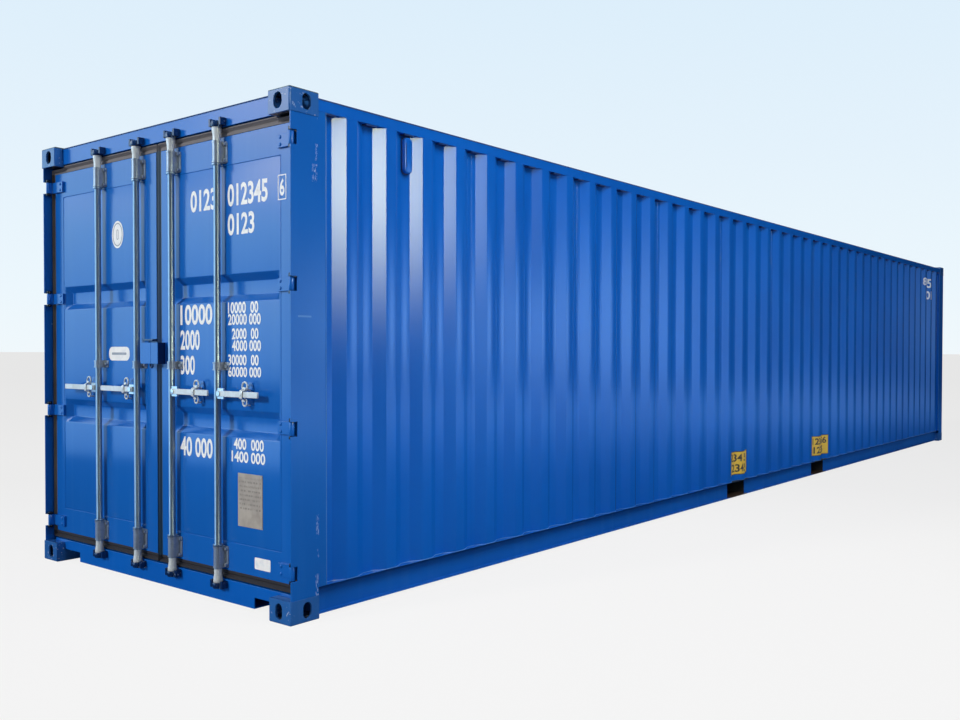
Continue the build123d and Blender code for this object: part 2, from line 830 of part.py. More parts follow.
def handle(rod_y, side):
    """Handle bar on its pin, with the clasp that crosses it at the retainer."""
    back = handle_back_depth
    front = back - handle_bar_thickness
    half = handle_bar_height / 2
    y0 = rod_y + handle_start
    y1 = rod_y + handle_reach
    plane = Plane(origin=(door_x + back, (y0 + y1) / 2, handle_height), x_dir=(0, -1, 0), z_dir=(-1, 0, 0))
    bar = extrude(plane * SlotOverall(y1 - y0, 2 * half), handle_bar_thickness)
    pivot = Plane(origin=(door_x + back, rod_y + handle_pivot_offset, handle_height), z_dir=(-1, 0, 0))
    bar = bar - extrude(pivot * Circle(hub_pin_radius + hinge_running_gap), handle_bar_thickness)
    clasp_y = rod_y + retainer_offsets[side]
    clasp = door_block(front - clasp_thickness, front, clasp_y - clasp_width / 2, clasp_y + clasp_width / 2,
                       handle_height - clasp_height / 2, handle_height + clasp_height / 2)
    return bar + clasp


def lock_box_half(side):
    """Half of the lock box: a cover open at the foot, at the back and at the meeting edge."""
    z0 = lock_box_bottom
    z1 = lock_box_bottom + lock_box_height
    y0 = lock_box_seam
    y1 = lock_box_reach[side]
    plate = lock_box_plate
    cover = door_block(lock_box_front_depth, leaf_face_depth, y0, y1, z0, z1)
    return cover - door_block(lock_box_front_depth + plate, leaf_face_depth, y0, y1 - plate, z0, z1 - plate)


def data_plate():
    """Metal plate on the right leaf."""
    return other_side(door_block(leaf_face_depth - plate_thickness, leaf_face_depth,
                                 plate_inner_y, plate_outer_y, plate_bottom, plate_top))


def vent(x):
    """Vent cover in a recess of the left side wall."""
    half_foot = wall_inner_flat / 2
    half = vent_width / 2
    points = [(x - half_foot, wall_inner_y), (x + half_foot, wall_inner_y),
              (x + half, wall_inner_y + vent_foot), (x + half, wall_inner_y + vent_proud),
              (x - half, wall_inner_y + vent_proud), (x - half, wall_inner_y + vent_foot)]
    return prism(points, Plane.XY.offset(vent_top - vent_height), vent_height)


def side_vents():
    """One vent high on each side wall, at opposite ends."""
    recess = first_rib + (vent_bay + 1) * wall_pitch - wall_inner_flat / 2
    return [other_side(vent(recess)), vent(-recess)]


def write_part(name, shapes):
    """Write one node as a STEP file."""
    solids = []
    for shape in shapes:
        solids += shape.solids()
    body = solids[0] if len(solids) == 1 else Compound(children=solids)
    body.label = name
    export_step(body, os.path.join("parts", name + ".step"))


def main():
    os.makedirs("parts", exist_ok=True)
    for end in ("door", "front"):
        for level in ("bottom", "top"):
            write_part("corner_castings_" + end + "_" + level, castings(end, level))
    write_part("rear_posts", both_sides(rear_post()))
    write_part("hinge_pins", [pin for z in hinge_heights for pin in both_sides(hinge_pin(z))])
    write_part("front_posts", both_sides(front_post()))
    write_part("door_header", [door_header()])
    write_part("door_sill", [door_sill()])
    write_part("cam_keepers", cam_keepers())
    write_part("front_header", [front_header()])
    write_part("front_sill", [front_sill()])
    write_part("front_sill_feet", both_sides(front_sill_foot()))
    write_part("front_wall", [front_wall()])
    write_part("roof", [roof()])
    write_part("floor", [floor_deck()])
    write_part("cross_members", cross_members())
    mouths = (-pocket_spacing / 2, pocket_spacing / 2)
    write_part("fork_pocket_tops", [pocket_top_plate(middle) for middle in mouths])
    write_part("fork_pocket_sides", [plate for middle in mouths for plate in pocket_side_plates(middle)])
    write_part("fork_pocket_straps", [strap for middle in mouths for strap in pocket_straps(middle)])
    write_part("tunnel_top", [tunnel_top()])
    write_part("tunnel_sides", both_sides(tunnel_side()))
    write_part("side_vents", side_vents())
    write_part("data_plate", [data_plate()])
    for side in ("left", "right"):
        write_part("top_rail_" + side, [to_side(top_rail(), side)])
        write_part("bottom_rail_" + side, [to_side(piece, side) for piece in bottom_rail()])
        write_part("side_wall_" + side, [to_side(side_wall(), side)])
        write_part("door_frame_" + side, [to_side(leaf_frame(), side)])
        write_part("door_panel_" + side, [to_side(leaf_panel(), side)])
        write_part("door_gasket_" + side, [to_side(leaf_gasket(), side)])
        write_part("hinge_blades_" + side, [to_side(hinge_blade(z), side) for z in hinge_heights])
        write_part("rod_fittings_" + side, [to_side(piece, side) for piece in rod_fittings(side)])
        write_part("lock_box_" + side, [to_side(lock_box_half(side), side)])
        for name, rod_y in rod_positions.items():
            write_part("lock_rod_" + side + "_" + name, [to_side(lock_rod(rod_y), side)])
            write_part("handle_" + side + "_" + name, [to_side(handle(rod_y, side), side)])


main()
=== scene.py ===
"""Looks of a forty foot steel freight container, built round its CAD frame.

Metres. +X runs from the door end to the front end, +Y to the left side seen from outside the doors,
+Z up. A depth is a distance inwards from the casting plane of the door end.
"""
import json
import math

import bmesh
import bpy
import numpy as np
from mathutils import Matrix, Vector


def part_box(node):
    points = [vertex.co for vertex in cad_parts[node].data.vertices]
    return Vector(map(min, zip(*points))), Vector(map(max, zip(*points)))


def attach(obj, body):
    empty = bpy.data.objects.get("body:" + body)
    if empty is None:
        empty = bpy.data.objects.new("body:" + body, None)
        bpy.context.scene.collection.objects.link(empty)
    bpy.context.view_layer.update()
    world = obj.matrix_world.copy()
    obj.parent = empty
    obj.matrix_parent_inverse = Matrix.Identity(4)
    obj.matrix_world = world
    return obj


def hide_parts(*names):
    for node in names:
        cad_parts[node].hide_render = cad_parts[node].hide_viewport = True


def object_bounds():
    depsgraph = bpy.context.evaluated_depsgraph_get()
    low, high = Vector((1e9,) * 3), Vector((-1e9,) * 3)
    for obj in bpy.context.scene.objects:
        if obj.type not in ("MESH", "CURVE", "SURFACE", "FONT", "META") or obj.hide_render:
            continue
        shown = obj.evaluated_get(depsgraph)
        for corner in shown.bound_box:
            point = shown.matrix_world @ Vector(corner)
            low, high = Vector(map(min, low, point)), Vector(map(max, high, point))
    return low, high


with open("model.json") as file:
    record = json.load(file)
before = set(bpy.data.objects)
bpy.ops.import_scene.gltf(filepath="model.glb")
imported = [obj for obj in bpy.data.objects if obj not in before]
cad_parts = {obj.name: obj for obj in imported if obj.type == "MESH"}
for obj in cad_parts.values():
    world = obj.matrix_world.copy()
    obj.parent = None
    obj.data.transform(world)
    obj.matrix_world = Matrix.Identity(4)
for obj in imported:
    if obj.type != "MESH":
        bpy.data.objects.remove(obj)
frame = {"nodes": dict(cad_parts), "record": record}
cad_low, cad_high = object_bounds()

# Overall places, from the frame
door_x = cad_low.x
front_x = cad_high.x
half_width = cad_high.y
height = cad_high.z

# Side walls
sheet = 0.002
# How far the strips of painted shade under the top rails stand back from the rail's face
shade_strip_recess = 0.003
side_outer_flat = 0.072
side_slope = 0.068
side_inner_flat = 0.070
side_ribs = 42
side_bend = 0.006
weld_every = 4

# Front wall
front_outer_flat = 0.110
front_slope = 0.018
front_inner_flat = 0.104
front_ribs = 9
front_bend = 0.005

# Roof
roof_rib_width = 0.120
roof_rib_slope = 0.014
roof_rib_height = 0.020
roof_rib_pitch = 0.209
roof_ribs = 56
roof_margin = 0.090
roof_bend = 0.006

# Door leaves
leaf_depth = 0.064
leaf_inner_edge = 0.025
leaf_outer_edge = 1.173
leaf_bottom = 0.180
leaf_top = 2.436
trough_heights = (0.9483, 1.6497)
trough_opening = 0.142
trough_slope = 0.035
trough_depth = 0.036
trough_from_edge = 0.115
trough_bend = 0.009
panel_groove = 0.0025
groove_width = 0.004

# Door seals
seal_inner_edge = 0.005
seal_outer_edge = 1.202
seal_bottom = 0.139
seal_low_top = 2.467
seal_top = 2.480
seal_step = 1.051
seal_back = 0.1185

# Lock gear
rod_depth = 0.030
rod_places = {"outer": 0.595, "inner": 0.175}
rod_middle = 1.300
rod_crown_height = 2.482
bearing_heights = (0.2495, 2.3535)
bearing_size = (0.090, 0.111)
guide_height = 1.245
guide_size = (0.110, 0.042)
fitting_plate = 0.006
strap_radius = 0.0224
strap_bore = 0.0176
strap_lip = 0.0022
bearing_bolt_across = 0.034
bearing_bolt_up = 0.042
guide_bolt_across = 0.043
handle_height = 1.104
handle_start = 0.020
handle_reach = 0.360
handle_bar = (0.030, 0.010)
handle_back = 0.018
hasp_width = 0.024
hasp_places = {"right": 0.232, "left": 0.110}
retainer_plate = (0.044, 0.120)
retainer_depth = 0.030
retainer_ring = 0.0405
lock_box_low = 1.251
lock_box_high = 1.370
lock_box_depth = 0.010
lock_box_plate = 0.005
lock_box_reach = {"left": 0.104, "right": 0.069}
lock_box_gap = 0.0003
# A dark plate of painted shade above the lock box, standing for the shadow gap over it
lock_shade_plate_size = (0.098, 0.012)
lock_shade_plate_proud = 0.034
lock_shade_plate_centre = 0.064
lock_shade_plate_above_box = 0.014
staple_centre = 0.030
staple_half = 0.013
staple_out = 0.030

# Posts, castings and rails
skin_inset = 0.003
casting_inner = 1.057
post_reach = 0.222
header_depth = 0.052
header_top = 2.585
rail_foot = 2.503
rail_top = 2.563

# Fork pockets, hinges, stickers and vents
pocket_x = 1.025
hinge_heights = (0.247, *trough_heights, 2.351)
hinge_rivet_place = 1.085
hinge_rivet_half_pitch = 0.018
hinge_strap_proud = 0.0138
sticker_size = (0.400, 0.212)
sticker_foot = 0.212
vent_centre_height = 2.390
vent_size = (0.060, 0.193)
vent_foot_half = 0.035
vent_proud = 0.030

# Weld beads, sealant beads, strips of painted shade and softened edges
weld_bead = 0.0024
seam_flatness = 0.6
rail_shade_strip_thick = 0.007
edge_bead = (0.006, 0.0035)
casting_edge = 0.005
steel_edge = 0.0018
lock_box_edge = 0.002

# Flat markings, each a little in front of what it lies on
label_lift = 0.0004
print_lift = 0.0009

# Camera, solved from the corner castings of the photograph
image_width = 960
image_height = 720
principal_x = 526.2
principal_y = 367.8
focal_pixels = 942.45
sensor_width = 36.0
camera_place = (-8.987, -4.845, 1.327)
camera_heading = 0.6520
camera_pitch = -0.0177
camera_roll = 0.0023

# Studio: strengths of the lights, and how far the floor and its painted pool of light reach
soft_light = 0.31
sun_strength = 2.2
sun_angle = 0.16
soft_box_power = 600
floor_glow = 1.07
floor_share = 0.86
floor_reach = 600.0
pool_reach = 40.0

# The sign of y on each side
SIDES = {"left": 1.0, "right": -1.0}


def rounded(corners, radius, steps=4, closed=False):
    """Corners of a line in two dimensions, each replaced by an arc that touches both of its runs."""
    corners = np.asarray(corners, float)
    before = np.roll(corners, 1, axis=0) - corners
    after = np.roll(corners, -1, axis=0) - corners
    run_before = np.linalg.norm(before, axis=1, keepdims=True)
    run_after = np.linalg.norm(after, axis=1, keepdims=True)
    before = before / np.maximum(run_before, 1e-9)
    after = after / np.maximum(run_after, 1e-9)
    cosine = np.clip((before * after).sum(1), -1, 0.999)
    half = np.arccos(cosine) / 2
    tangent = np.minimum(radius / np.tan(half), 0.45 * np.minimum(run_before, run_after)[:, 0])
    share = np.linspace(0, 1, steps)[None, :, None]
    start = (corners + before * tangent[:, None])[:, None, :]
    end = (corners + after * tangent[:, None])[:, None, :]
    middle = corners[:, None, :]
    weight = np.cos(half)[:, None, None]
    bottom = (1 - share) ** 2 + 2 * weight * share * (1 - share) + share ** 2
    arc = ((1 - share) ** 2 * start + 2 * weight * share * (1 - share) * middle + share ** 2 * end) / bottom
    if closed:
        return arc.reshape(-1, 2)
    return np.concatenate([corners[:1], arc[1:-1].reshape(-1, 2), corners[-1:]])


def wave(start, end, ribs, outer_flat, slope, inner_flat, low, high, bend):
    """Ribbed line: inner flats at low, outer flats at high, slopes between them and arcs at the bends."""
    pitch = outer_flat + inner_flat + 2 * slope
    first = start + (end - start - ribs * pitch + inner_flat) / 2
    feet = first + pitch * np.arange(ribs)[:, None]
    along = (feet + np.array([0, slope, slope + outer_flat, 2 * slope + outer_flat])).ravel()
    across = np.tile([low, high, high, low], ribs)
    corners = np.column_stack([np.r_[start, along, end], np.r_[low, across, low]])
    return rounded(corners, bend)


def circle(radius, count):
    """A number of points of a circle."""
    turn = 2 * np.pi * np.arange(count) / count
    return radius * np.column_stack([np.cos(turn), np.sin(turn)])


def rectangle(width, tall, radius=0.0, steps=4):
    """Points of a rectangle about its middle, with round corners."""
    corners = np.array([(-1, -1), (1, -1), (1, 1), (-1, 1)]) * (width / 2, tall / 2)
    return rounded(corners, max(radius, 1e-5), steps, closed=True)


def grid_of(x, y, z):
    """Grid of points from arrays of x, y and z that spread over one another."""
    return np.stack(np.broadcast_arrays(x, y, z), axis=-1).astype(float)


def grid_faces(rows, columns, wrap_rows=False, wrap_columns=False):
    """Quads between the points of a grid; a wrapped direction closes on itself."""
    row, column = np.meshgrid(np.arange(rows if wrap_rows else rows - 1),
                              np.arange(columns if wrap_columns else columns - 1), indexing="ij")
    next_row = (row + 1) % rows
    next_column = (column + 1) % columns
    quads = [row * columns + column, row * columns + next_column,
             next_row * columns + next_column, next_row * columns + column]
    return np.stack(quads, axis=-1).reshape(-1, 4)


def joined(shapes):
    """One shape from several, each a pair of points and blocks of faces."""
    points = []
    blocks = []
    start = 0
    for shape_points, shape_blocks in shapes:
        points.append(shape_points)
        blocks += [block + start for block in shape_blocks]
        start += len(shape_points)
    return np.concatenate(points), blocks


def shifted(shape, x, y, z):
    """The same shape, moved along each axis."""
    return shape[0] + (x, y, z), shape[1]


def on_wall(shape, side, centre):
    """A shape drawn as across, up and out, put on a side wall with its origin at a point."""
    sign = SIDES[side]
    axes = np.array([(-sign, 0, 0), (0, 0, 1), (0, sign, 0)])
    return shape[0] @ axes + centre, shape[1]


def repeated(shape, places):
    """Copies of a shape, one at each place."""
    points, blocks = shape
    places = np.asarray(places, float).reshape(-1, 3)
    moved = (points[None] + places[:, None]).reshape(-1, 3)
    starts = len(points) * np.arange(len(places))[:, None, None]
    return moved, [(block[None] + starts).reshape(-1, block.shape[1]) for block in blocks]


def offset(outline, inset):
    """Closed outline moved inwards along the mean of its neighbouring normals."""
    ahead = np.roll(outline, -1, axis=0) - outline
    behind = outline - np.roll(outline, 1, axis=0)
    normal = np.zeros_like(outline)
    for run in (ahead, behind):
        size = np.maximum(np.linalg.norm(run, axis=1, keepdims=True), 1e-9)
        normal += np.column_stack([-run[:, 1], run[:, 0]]) / size
    square = np.maximum((normal ** 2).sum(1, keepdims=True) / 2, 0.5)
    return outline + inset * normal / square


def plate(outline, levels):
    """Closed solid on an anticlockwise outline: level by level, an inset of the outline and a height."""
    rings = [np.column_stack([offset(outline, inset), np.full(len(outline), rise)]) for inset, rise in levels]
    count = len(outline)
    points = np.concatenate(rings)
    foot = np.arange(count)[None, ::-1]
    crown = (len(levels) - 1) * count + np.arange(count)[None]
    return points, [grid_faces(len(levels), count, wrap_columns=True), foot, crown]


def flat_plate(outline, thick, edge=0.001):
    """Plate from its back at height nought to its thickness, with a rounded front edge."""
    soft = edge * (1 - math.cos(math.pi / 4))
    return plate(outline, [(0, 0), (0, thick - edge), (soft, thick - soft), (edge, thick)])


def bolt(across_flats, head, washer):
    """Hexagon head with a chamfer on a round washer."""
    foot = 0.0025
    top = foot + head
    hexagon = circle(across_flats / math.sqrt(3), 6)
    ring = flat_plate(circle(washer, 20), foot, 0.0006)
    return joined([ring, plate(hexagon, [(0, foot), (0, top - 0.0015), (0.0012, top)])])


def swept(section, path, normal, closed=False):
    """Tube: a section of across and along-normal offsets, carried along a path of points."""
    path = np.asarray(path, float)
    if closed:
        run = np.roll(path, -1, axis=0) - np.roll(path, 1, axis=0)
    else:
        run = np.gradient(path, axis=0)
    run = run / np.maximum(np.linalg.norm(run, axis=1, keepdims=True), 1e-9)
    up = np.broadcast_to(np.asarray(normal, float), path.shape)
    across = np.cross(run, up)
    across = across / np.maximum(np.linalg.norm(across, axis=1, keepdims=True), 1e-9)
    up = np.cross(across, run)
    points = path[:, None] + section[None, :, :1] * across[:, None] + section[None, :, 1:] * up[:, None]
    count = len(section)
    blocks = [grid_faces(len(path), count, wrap_rows=closed, wrap_columns=True)]
    if not closed:
        blocks += [np.arange(count)[None, ::-1], (len(path) - 1) * count + np.arange(count)[None]]
    return points.reshape(-1, 3), blocks


def sheet_solid(grid, thickness):
    """Closed sheet: a grid of points, the same grid moved by the thickness, and a rim round both."""
    rows, columns = grid.shape[:2]
    count = rows * columns
    points = np.concatenate([grid.reshape(-1, 3), (grid + thickness).reshape(-1, 3)])
    faces = grid_faces(rows, columns)
    index = np.arange(count).reshape(rows, columns)
    rim = np.concatenate([index[0, :-1], index[:-1, -1], index[-1, :0:-1], index[:0:-1, 0]])
    after = np.roll(rim, -1)
    wall = np.column_stack([rim, rim + count, after + count, after])
    return points, [faces, faces[:, ::-1] + count, wall]


def put(name, data):
    """Adds an object with its data to the scene."""
    made = bpy.data.objects.new(name, data)
    bpy.context.scene.collection.objects.link(made)
    return made


def laid(name, mesh, finish, body, replaces=()):
    """Gives a mesh its finish, and puts it on a body in place of the CAD nodes that it stands for."""
    mesh.materials.append(finish)
    made = put(name, mesh)
    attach(made, body)
    if replaces:
        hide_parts(*replaces)
    return made


def piece(name, shape, finish, body="container", replaces=(), crease=35):
    """Makes a mesh piece: welded, normals outwards, smooth but for creases, riding on a body."""
    points, blocks = shape
    mesh = bpy.data.meshes.new(name)
    mesh.from_pydata(points.tolist(), [], [face for block in blocks for face in block.tolist()])
    work = bmesh.new()
    work.from_mesh(mesh)
    bmesh.ops.remove_doubles(work, verts=work.verts, dist=1e-6)
    bmesh.ops.recalc_face_normals(work, faces=work.faces)
    work.to_mesh(mesh)
    work.free()
    mesh.shade_smooth()
    mesh.set_sharp_from_angle(angle=math.radians(crease))
    return laid(name, mesh, finish, body, replaces)


def soften(made, width, segments=2):
    """Rounds the sharp edges of steel, so that they catch light."""
    soft = made.modifiers.new("soften_edges", "BEVEL")
    soft.width = width
    soft.segments = segments
    soft.limit_method = "ANGLE"
    soft.angle_limit = math.radians(35)
    soft.harden_normals = True


def linear(code):
    """Linear colour of an sRGB hex code."""
    parts = np.array([int(code[index:index + 2], 16) for index in (1, 3, 5)]) / 255
    low = parts / 12.92
    high = ((parts + 0.055) / 1.055) ** 2.4
    return (*np.where(parts <= 0.04045, low, high).tolist(), 1.0)


def feed(socket, value):
    """Links a socket to another node's output, or sets its own value; a hex code becomes its colour."""
    if isinstance(value, bpy.types.NodeSocket):
        socket.id_data.links.new(value, socket)
    else:
        socket.default_value = linear(value) if isinstance(value, str) else value


def node(kind, *values, tree=None, output=None, stops=(), **named):
    """Adds a shader node with its settings and links, and gives one of its outputs.

    Values feed its inputs in order. A named value feeds the input of that name, with spaces for underscores,
    or is a setting where the name is in small letters. The tree is that of the first socket among them, where
    none is given. A mix is one of colours. Stops are places along a ramp and their hex codes.
    """
    if tree is None:
        fed = [value for value in (*values, *named.values()) if isinstance(value, bpy.types.NodeSocket)]
        tree = fed[0].id_data
    made = tree.nodes.new("ShaderNode" + kind)
    if kind == "Mix":
        made.data_type = "RGBA"
    for name, value in named.items():
        if name.islower():
            setattr(made, name, value)
        else:
            feed(made.inputs[name.replace("_", " ")], value)
    for socket, value in zip([socket for socket in made.inputs if socket.enabled], values):
        feed(socket, value)
    for _ in stops[2:]:
        made.color_ramp.elements.new(0.5)
    for index, (place, code) in enumerate(stops):
        made.color_ramp.elements[index].position = place
        made.color_ramp.elements[index].color = linear(code)
    if output:
        return made.outputs[output]
    return next((socket for socket in made.outputs if socket.enabled), None)


def new_finish(name):
    """A new material, its shader and Object coordinates."""
    finish = bpy.data.materials.new(name)
    finish.use_nodes = True
    shader = finish.node_tree.nodes["Principled BSDF"]
    return finish, shader, node("TexCoord", tree=finish.node_tree, output="Object")


def glow_tree(finish):
    """The emptied node tree of a material or world of the studio."""
    finish.use_nodes = True
    finish.node_tree.nodes.clear()
    return finish.node_tree


def dress(shader, **looks):
    """Feeds a shader's sockets; a name's underscores stand for spaces."""
    for name, value in looks.items():
        feed(shader.inputs[name.replace("_", " ")], value)


def within(place, low, high, fade):
    """One inside a box, fading to nought at its faces; the box is mirrored across the length and width."""
    parts = node("SeparateXYZ", place).node.outputs
    values = [node("Math", parts["X"], operation="ABSOLUTE"), node("Math", parts["Y"], operation="ABSOLUTE"),
              parts["Z"]]
    nearest = None
    for value, start, end in zip(values, low, high):
        for gap in (node("Math", value, start, operation="SUBTRACT"),
                    node("Math", end, value, operation="SUBTRACT")):
            nearest = gap if nearest is None else node("Math", nearest, gap, operation="MINIMUM")
    return node("MapRange", nearest, 0.0, fade)


def shaded(tone, place, shades):
    """A colour changed inside boxes: each has a low corner, a high corner, a fade and a hex code."""
    for low, high, fade, code in shades:
        tone = node("Mix", within(place, low, high, fade), tone, code)
    return tone


def enamel(name, colour, deep, dusty, wear=0.0, shades=(), scuffs=(), gloss=0.30):
    """Alkyd enamel sprayed on steel: glossy, with faint runs, a dust film and orange peel.

    Runs are 70 mm wide and over a metre long. Chips are 14 mm wide, in patches of 140 mm, scratches 3 mm
    wide and 22 mm long, and dents about half a metre apart.
    Orange peel is about 2 mm wide on the real paint; it is drawn at 7 mm so that it shows at all.
    A shade is a box of another colour: low corner, high corner, fade and colour; most are painted shade in
    recesses and on faces turned from the light.
    A scuff is a box where the paint is scratched through to a pale streak.
    """
    finish, shader, place = new_finish(name)
    cloud = node("TexNoise", place, 0.9, 4.0)
    runs = node("TexNoise", node("Mapping", place, Scale=(14, 14, 0.7)), 1.0, 5.0)
    tone = node("Mix", node("MapRange", cloud, 0.35, 0.65), deep, colour)
    tone = node("Mix", node("MapRange", runs, 0.52, 0.80, 0.0, 0.14), tone, dusty)
    if wear:
        chips = node("MapRange", node("TexNoise", place, 70.0, 6.0), 0.62, 0.66)
        patches = node("TexNoise", place, 7.0, 2.0)
        for start, end, most, code in ((0.52, 0.60, wear, "#b9c8dc"), (0.48, 0.40, wear * 0.6, "#5d4a44")):
            share = node("MapRange", patches, start, end, 0.0, most)
            tone = node("Mix", node("Math", chips, share, operation="MULTIPLY"), tone, code)
    tone = shaded(tone, place, shades)
    streaks = node("TexNoise", node("Mapping", place, Scale=(320, 320, 45)), 1.0, 4.0)
    streaks = node("MapRange", streaks, 0.56, 0.60, 0.0, 0.8)
    for low, high in scuffs:
        scratched = node("Math", within(place, low, high, 0.004), streaks, operation="MULTIPLY")
        tone = node("Mix", scratched, tone, "#b4cbe8")
    peel = node("Math", node("TexNoise", place, 140.0, 2.0), 0.03, operation="MULTIPLY")
    dents = node("TexNoise", node("Mapping", place, Scale=(2.2, 2.2, 0.9)), 1.0, 2.0)
    rise = node("Math", peel, dents, operation="ADD")
    dress(shader, Base_Color=tone, Roughness=node("MapRange", runs, 0.3, 0.8, gloss - 0.04, gloss + 0.08),
          Specular_IOR_Level=0.0, Coat_Weight=1.0, Coat_Roughness=0.17,
          Normal=node("Bump", Height=rise, Distance=0.0030, Strength=0.5))
    return finish


def galvanised_steel(name, colour, dark, stain, rough, metal=0.85, shades=()):
    """Hot dip galvanised steel: crystals of zinc about 14 mm across, dulled in smears of 110 mm."""
    finish, shader, place = new_finish(name)
    crystal = node("SeparateColor", node("TexVoronoi", place, Scale=70.0, output="Color"))
    smear = node("MapRange", node("TexNoise", place, 9.0, 5.0), 0.55, 0.8, 0.0, 0.5)
    tone = node("Mix", node("MapRange", crystal, 0.0, 1.0, 0.0, 0.4), colour, dark)
    tone = shaded(node("Mix", smear, tone, stain), place, shades)
    dress(shader, Base_Color=tone, Roughness=node("MapRange", crystal, 0.0, 1.0, rough - 0.06, rough + 0.06),
          Metallic=metal,
          Normal=node("Bump", Height=node("TexNoise", place, 40.0, 2.0), Distance=0.0002, Strength=0.12))
    return finish


def seal_rubber():
    """Extruded EPDM rubber: brown grey over the doors, nearly black at the foot, and teal grey between the
    leaves, a painted reflection of the sky that lightens towards the top.

    It is bleached in patches of 250 mm, and its matt skin is drawn as grains of 6 mm.
    """
    finish, shader, place = new_finish("weathered_epdm_rubber")
    bleach = node("MapRange", node("TexNoise", place, 4.0, 5.0), 0.35, 0.70)
    rise = node("MapRange", node("SeparateXYZ", place, output="Z"), 0.2, 2.4)
    # Between the leaves: painted reflection of the sky, lighter towards the top
    teal = node("ValToRGB", rise, stops=[(0.0, "#2c4a60"), (0.5, "#48668a"), (1.0, "#6f8494")])
    tone = node("Mix", bleach, "#4a4442", "#5a5450")
    tone = shaded(tone, place, [((0, -1, 0), (9, 0.030, 3), 0.004, teal),
                                ((0, -1, leaf_top), (9, 2, 3), 0.004, "#78767a"),
                                ((0, -1, 0), (9, 2, leaf_bottom), 0.004, "#2f2d30")])
    dress(shader, Base_Color=tone, Roughness=0.75, Specular_IOR_Level=0.25,
          Normal=node("Bump", Height=node("TexNoise", place, 160.0, 3.0), Distance=0.0004, Strength=0.6))
    return finish


def bitumen_paint():
    """Bituminous chassis paint: nearly black, in lumps of 22 mm, with road dust in clouds of 330 mm."""
    finish, shader, place = new_finish("bituminous_chassis_paint")
    dust = node("MapRange", node("TexNoise", place, 3.0, 6.0), 0.45, 0.75)
    dress(shader, Base_Color=node("Mix", dust, "#101216", "#2a2926"), Roughness=0.6,
          Normal=node("Bump", Height=node("TexNoise", place, 45.0, 4.0), Distance=0.0015, Strength=0.7))
    return finish


def sealant():
    """Polyurethane sealant laid by hand and painted over: dark blue and matt, in lumps of 17 mm; also painted
    shade under the top rails.
    """
    finish, shader, place = new_finish("dark_sealant_and_painted_shade_finish")
    lumps = node("TexNoise", place, 60.0, 3.0)
    dress(shader, Base_Color=node("Mix", lumps, "#0d2a58", "#163c74"), Roughness=0.7,
          Normal=node("Bump", Height=lumps, Distance=0.0008, Strength=0.5))
    return finish


def floor_plywood():
    """Tropical plywood: boards 1.16 m by 2.4 m, grain streaks 24 mm wide, sealer scuffed 400 mm apart."""
    finish, shader, place = new_finish("sealed_marine_plywood")
    grain = node("TexNoise", node("Mapping", place, Scale=(1.5, 42, 42)), 1.0, 8.0)
    scuff = node("TexNoise", place, 2.5, 6.0)
    boards = node("TexBrick", place, Scale=1.0, Brick_Width=2.4, Row_Height=1.16, Mortar_Size=0.003,
                  Color1="#7d5a3a", Color2="#8a6743", Mortar="#2c2018").node.outputs
    tone = node("Mix", node("MapRange", grain, 0.35, 0.65, 0.0, 0.45), boards["Color"], "#54381f")
    tone = node("Mix", node("MapRange", scuff, 0.55, 0.85, 0.0, 0.4), tone, "#a48c70")
    rise = node("Math", grain, boards["Fac"], operation="ADD")
    dress(shader, Base_Color=tone, Roughness=node("MapRange", scuff, 0.3, 0.8, 0.45, 0.7),
          Normal=node("Bump", Height=rise, Distance=0.0008, Strength=0.5))
    return finish


def stamped_plate():
    """Etched aluminium plate: dull beige grey, with rows 23 mm apart of 7 mm marks, none a real letter."""
    finish, shader, place = new_finish("etched_aluminium_plate")
    low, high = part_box("data_plate")
    rows = node("Math", node("SeparateXYZ", place, output="Z"), 44.0, operation="MULTIPLY")
    rows = node("MapRange", node("Math", rows, operation="FRACT"), 0.55, 0.62)
    marks = node("TexNoise", node("Mapping", place, Scale=(1, 150, 30)), 1.0, 2.0)
    marks = node("MapRange", marks, 0.47, 0.53, 0.0, 0.55)
    printed = within(place, (6.0, 0.735, low.z + 0.085), (6.1, 0.913, high.z - 0.02), 0.004)
    mask = node("Math", node("Math", rows, marks, operation="MULTIPLY"), printed, operation="MULTIPLY")
    stain = node("MapRange", node("TexNoise", place, 14.0, 4.0), 0.35, 0.65)
    dress(shader, Base_Color=node("Mix", mask, node("Mix", stain, "#9a9186", "#b0a79b"), "#5d5854"),
          Roughness=0.5, Metallic=0.15, Normal=node("Bump", Height=mask, Distance=0.0004, Strength=0.6))
    return finish


def film(name, colour, worn):
    """Cut vinyl film or stencil paint: thin, even, chalked by weather in patches of 33 mm."""
    finish, shader, place = new_finish(name)
    chalk = node("TexNoise", place, 30.0, 5.0)
    dress(shader, Base_Color=node("Mix", node("MapRange", chalk, 0.45, 0.75, 0.0, 0.6), colour, worn),
          Roughness=node("MapRange", chalk, 0.3, 0.7, 0.39, 0.51))
    return finish


def band(near, far, low, high, inner=1.20, outer=2.0):
    """Box at both ends and on both sides: depths from the end plane, heights, distances from the middle."""
    return (front_x - far, inner, low), (front_x - near, outer, high)


# Painted shade on the posts' inner faces, in the castings' holes, on the lock box's side and under the rails'
# flanges; also a pale stripe, a dark band on the castings' tops, and scratches
post_painted_shade_and_stripe = [(*band(-1.0, 0.064, 0.15, 2.50, 0, 1.2105), 0.003, "#060c1c"),
               (*band(0.050, 0.135, 1.487, 1.499, 1.10), 0.004, "#4f7fbd")]
post_scuffs = [band(0.168, 0.180, 2.455, 2.510), band(0.158, 0.176, 2.255, 2.340),
               band(0.138, 0.172, 2.150, 2.240), band(0.160, 0.180, 0.400, 0.520),
               band(0.165, 0.180, 0.300, 0.350), band(0.155, 0.178, 0.060, 0.230)]
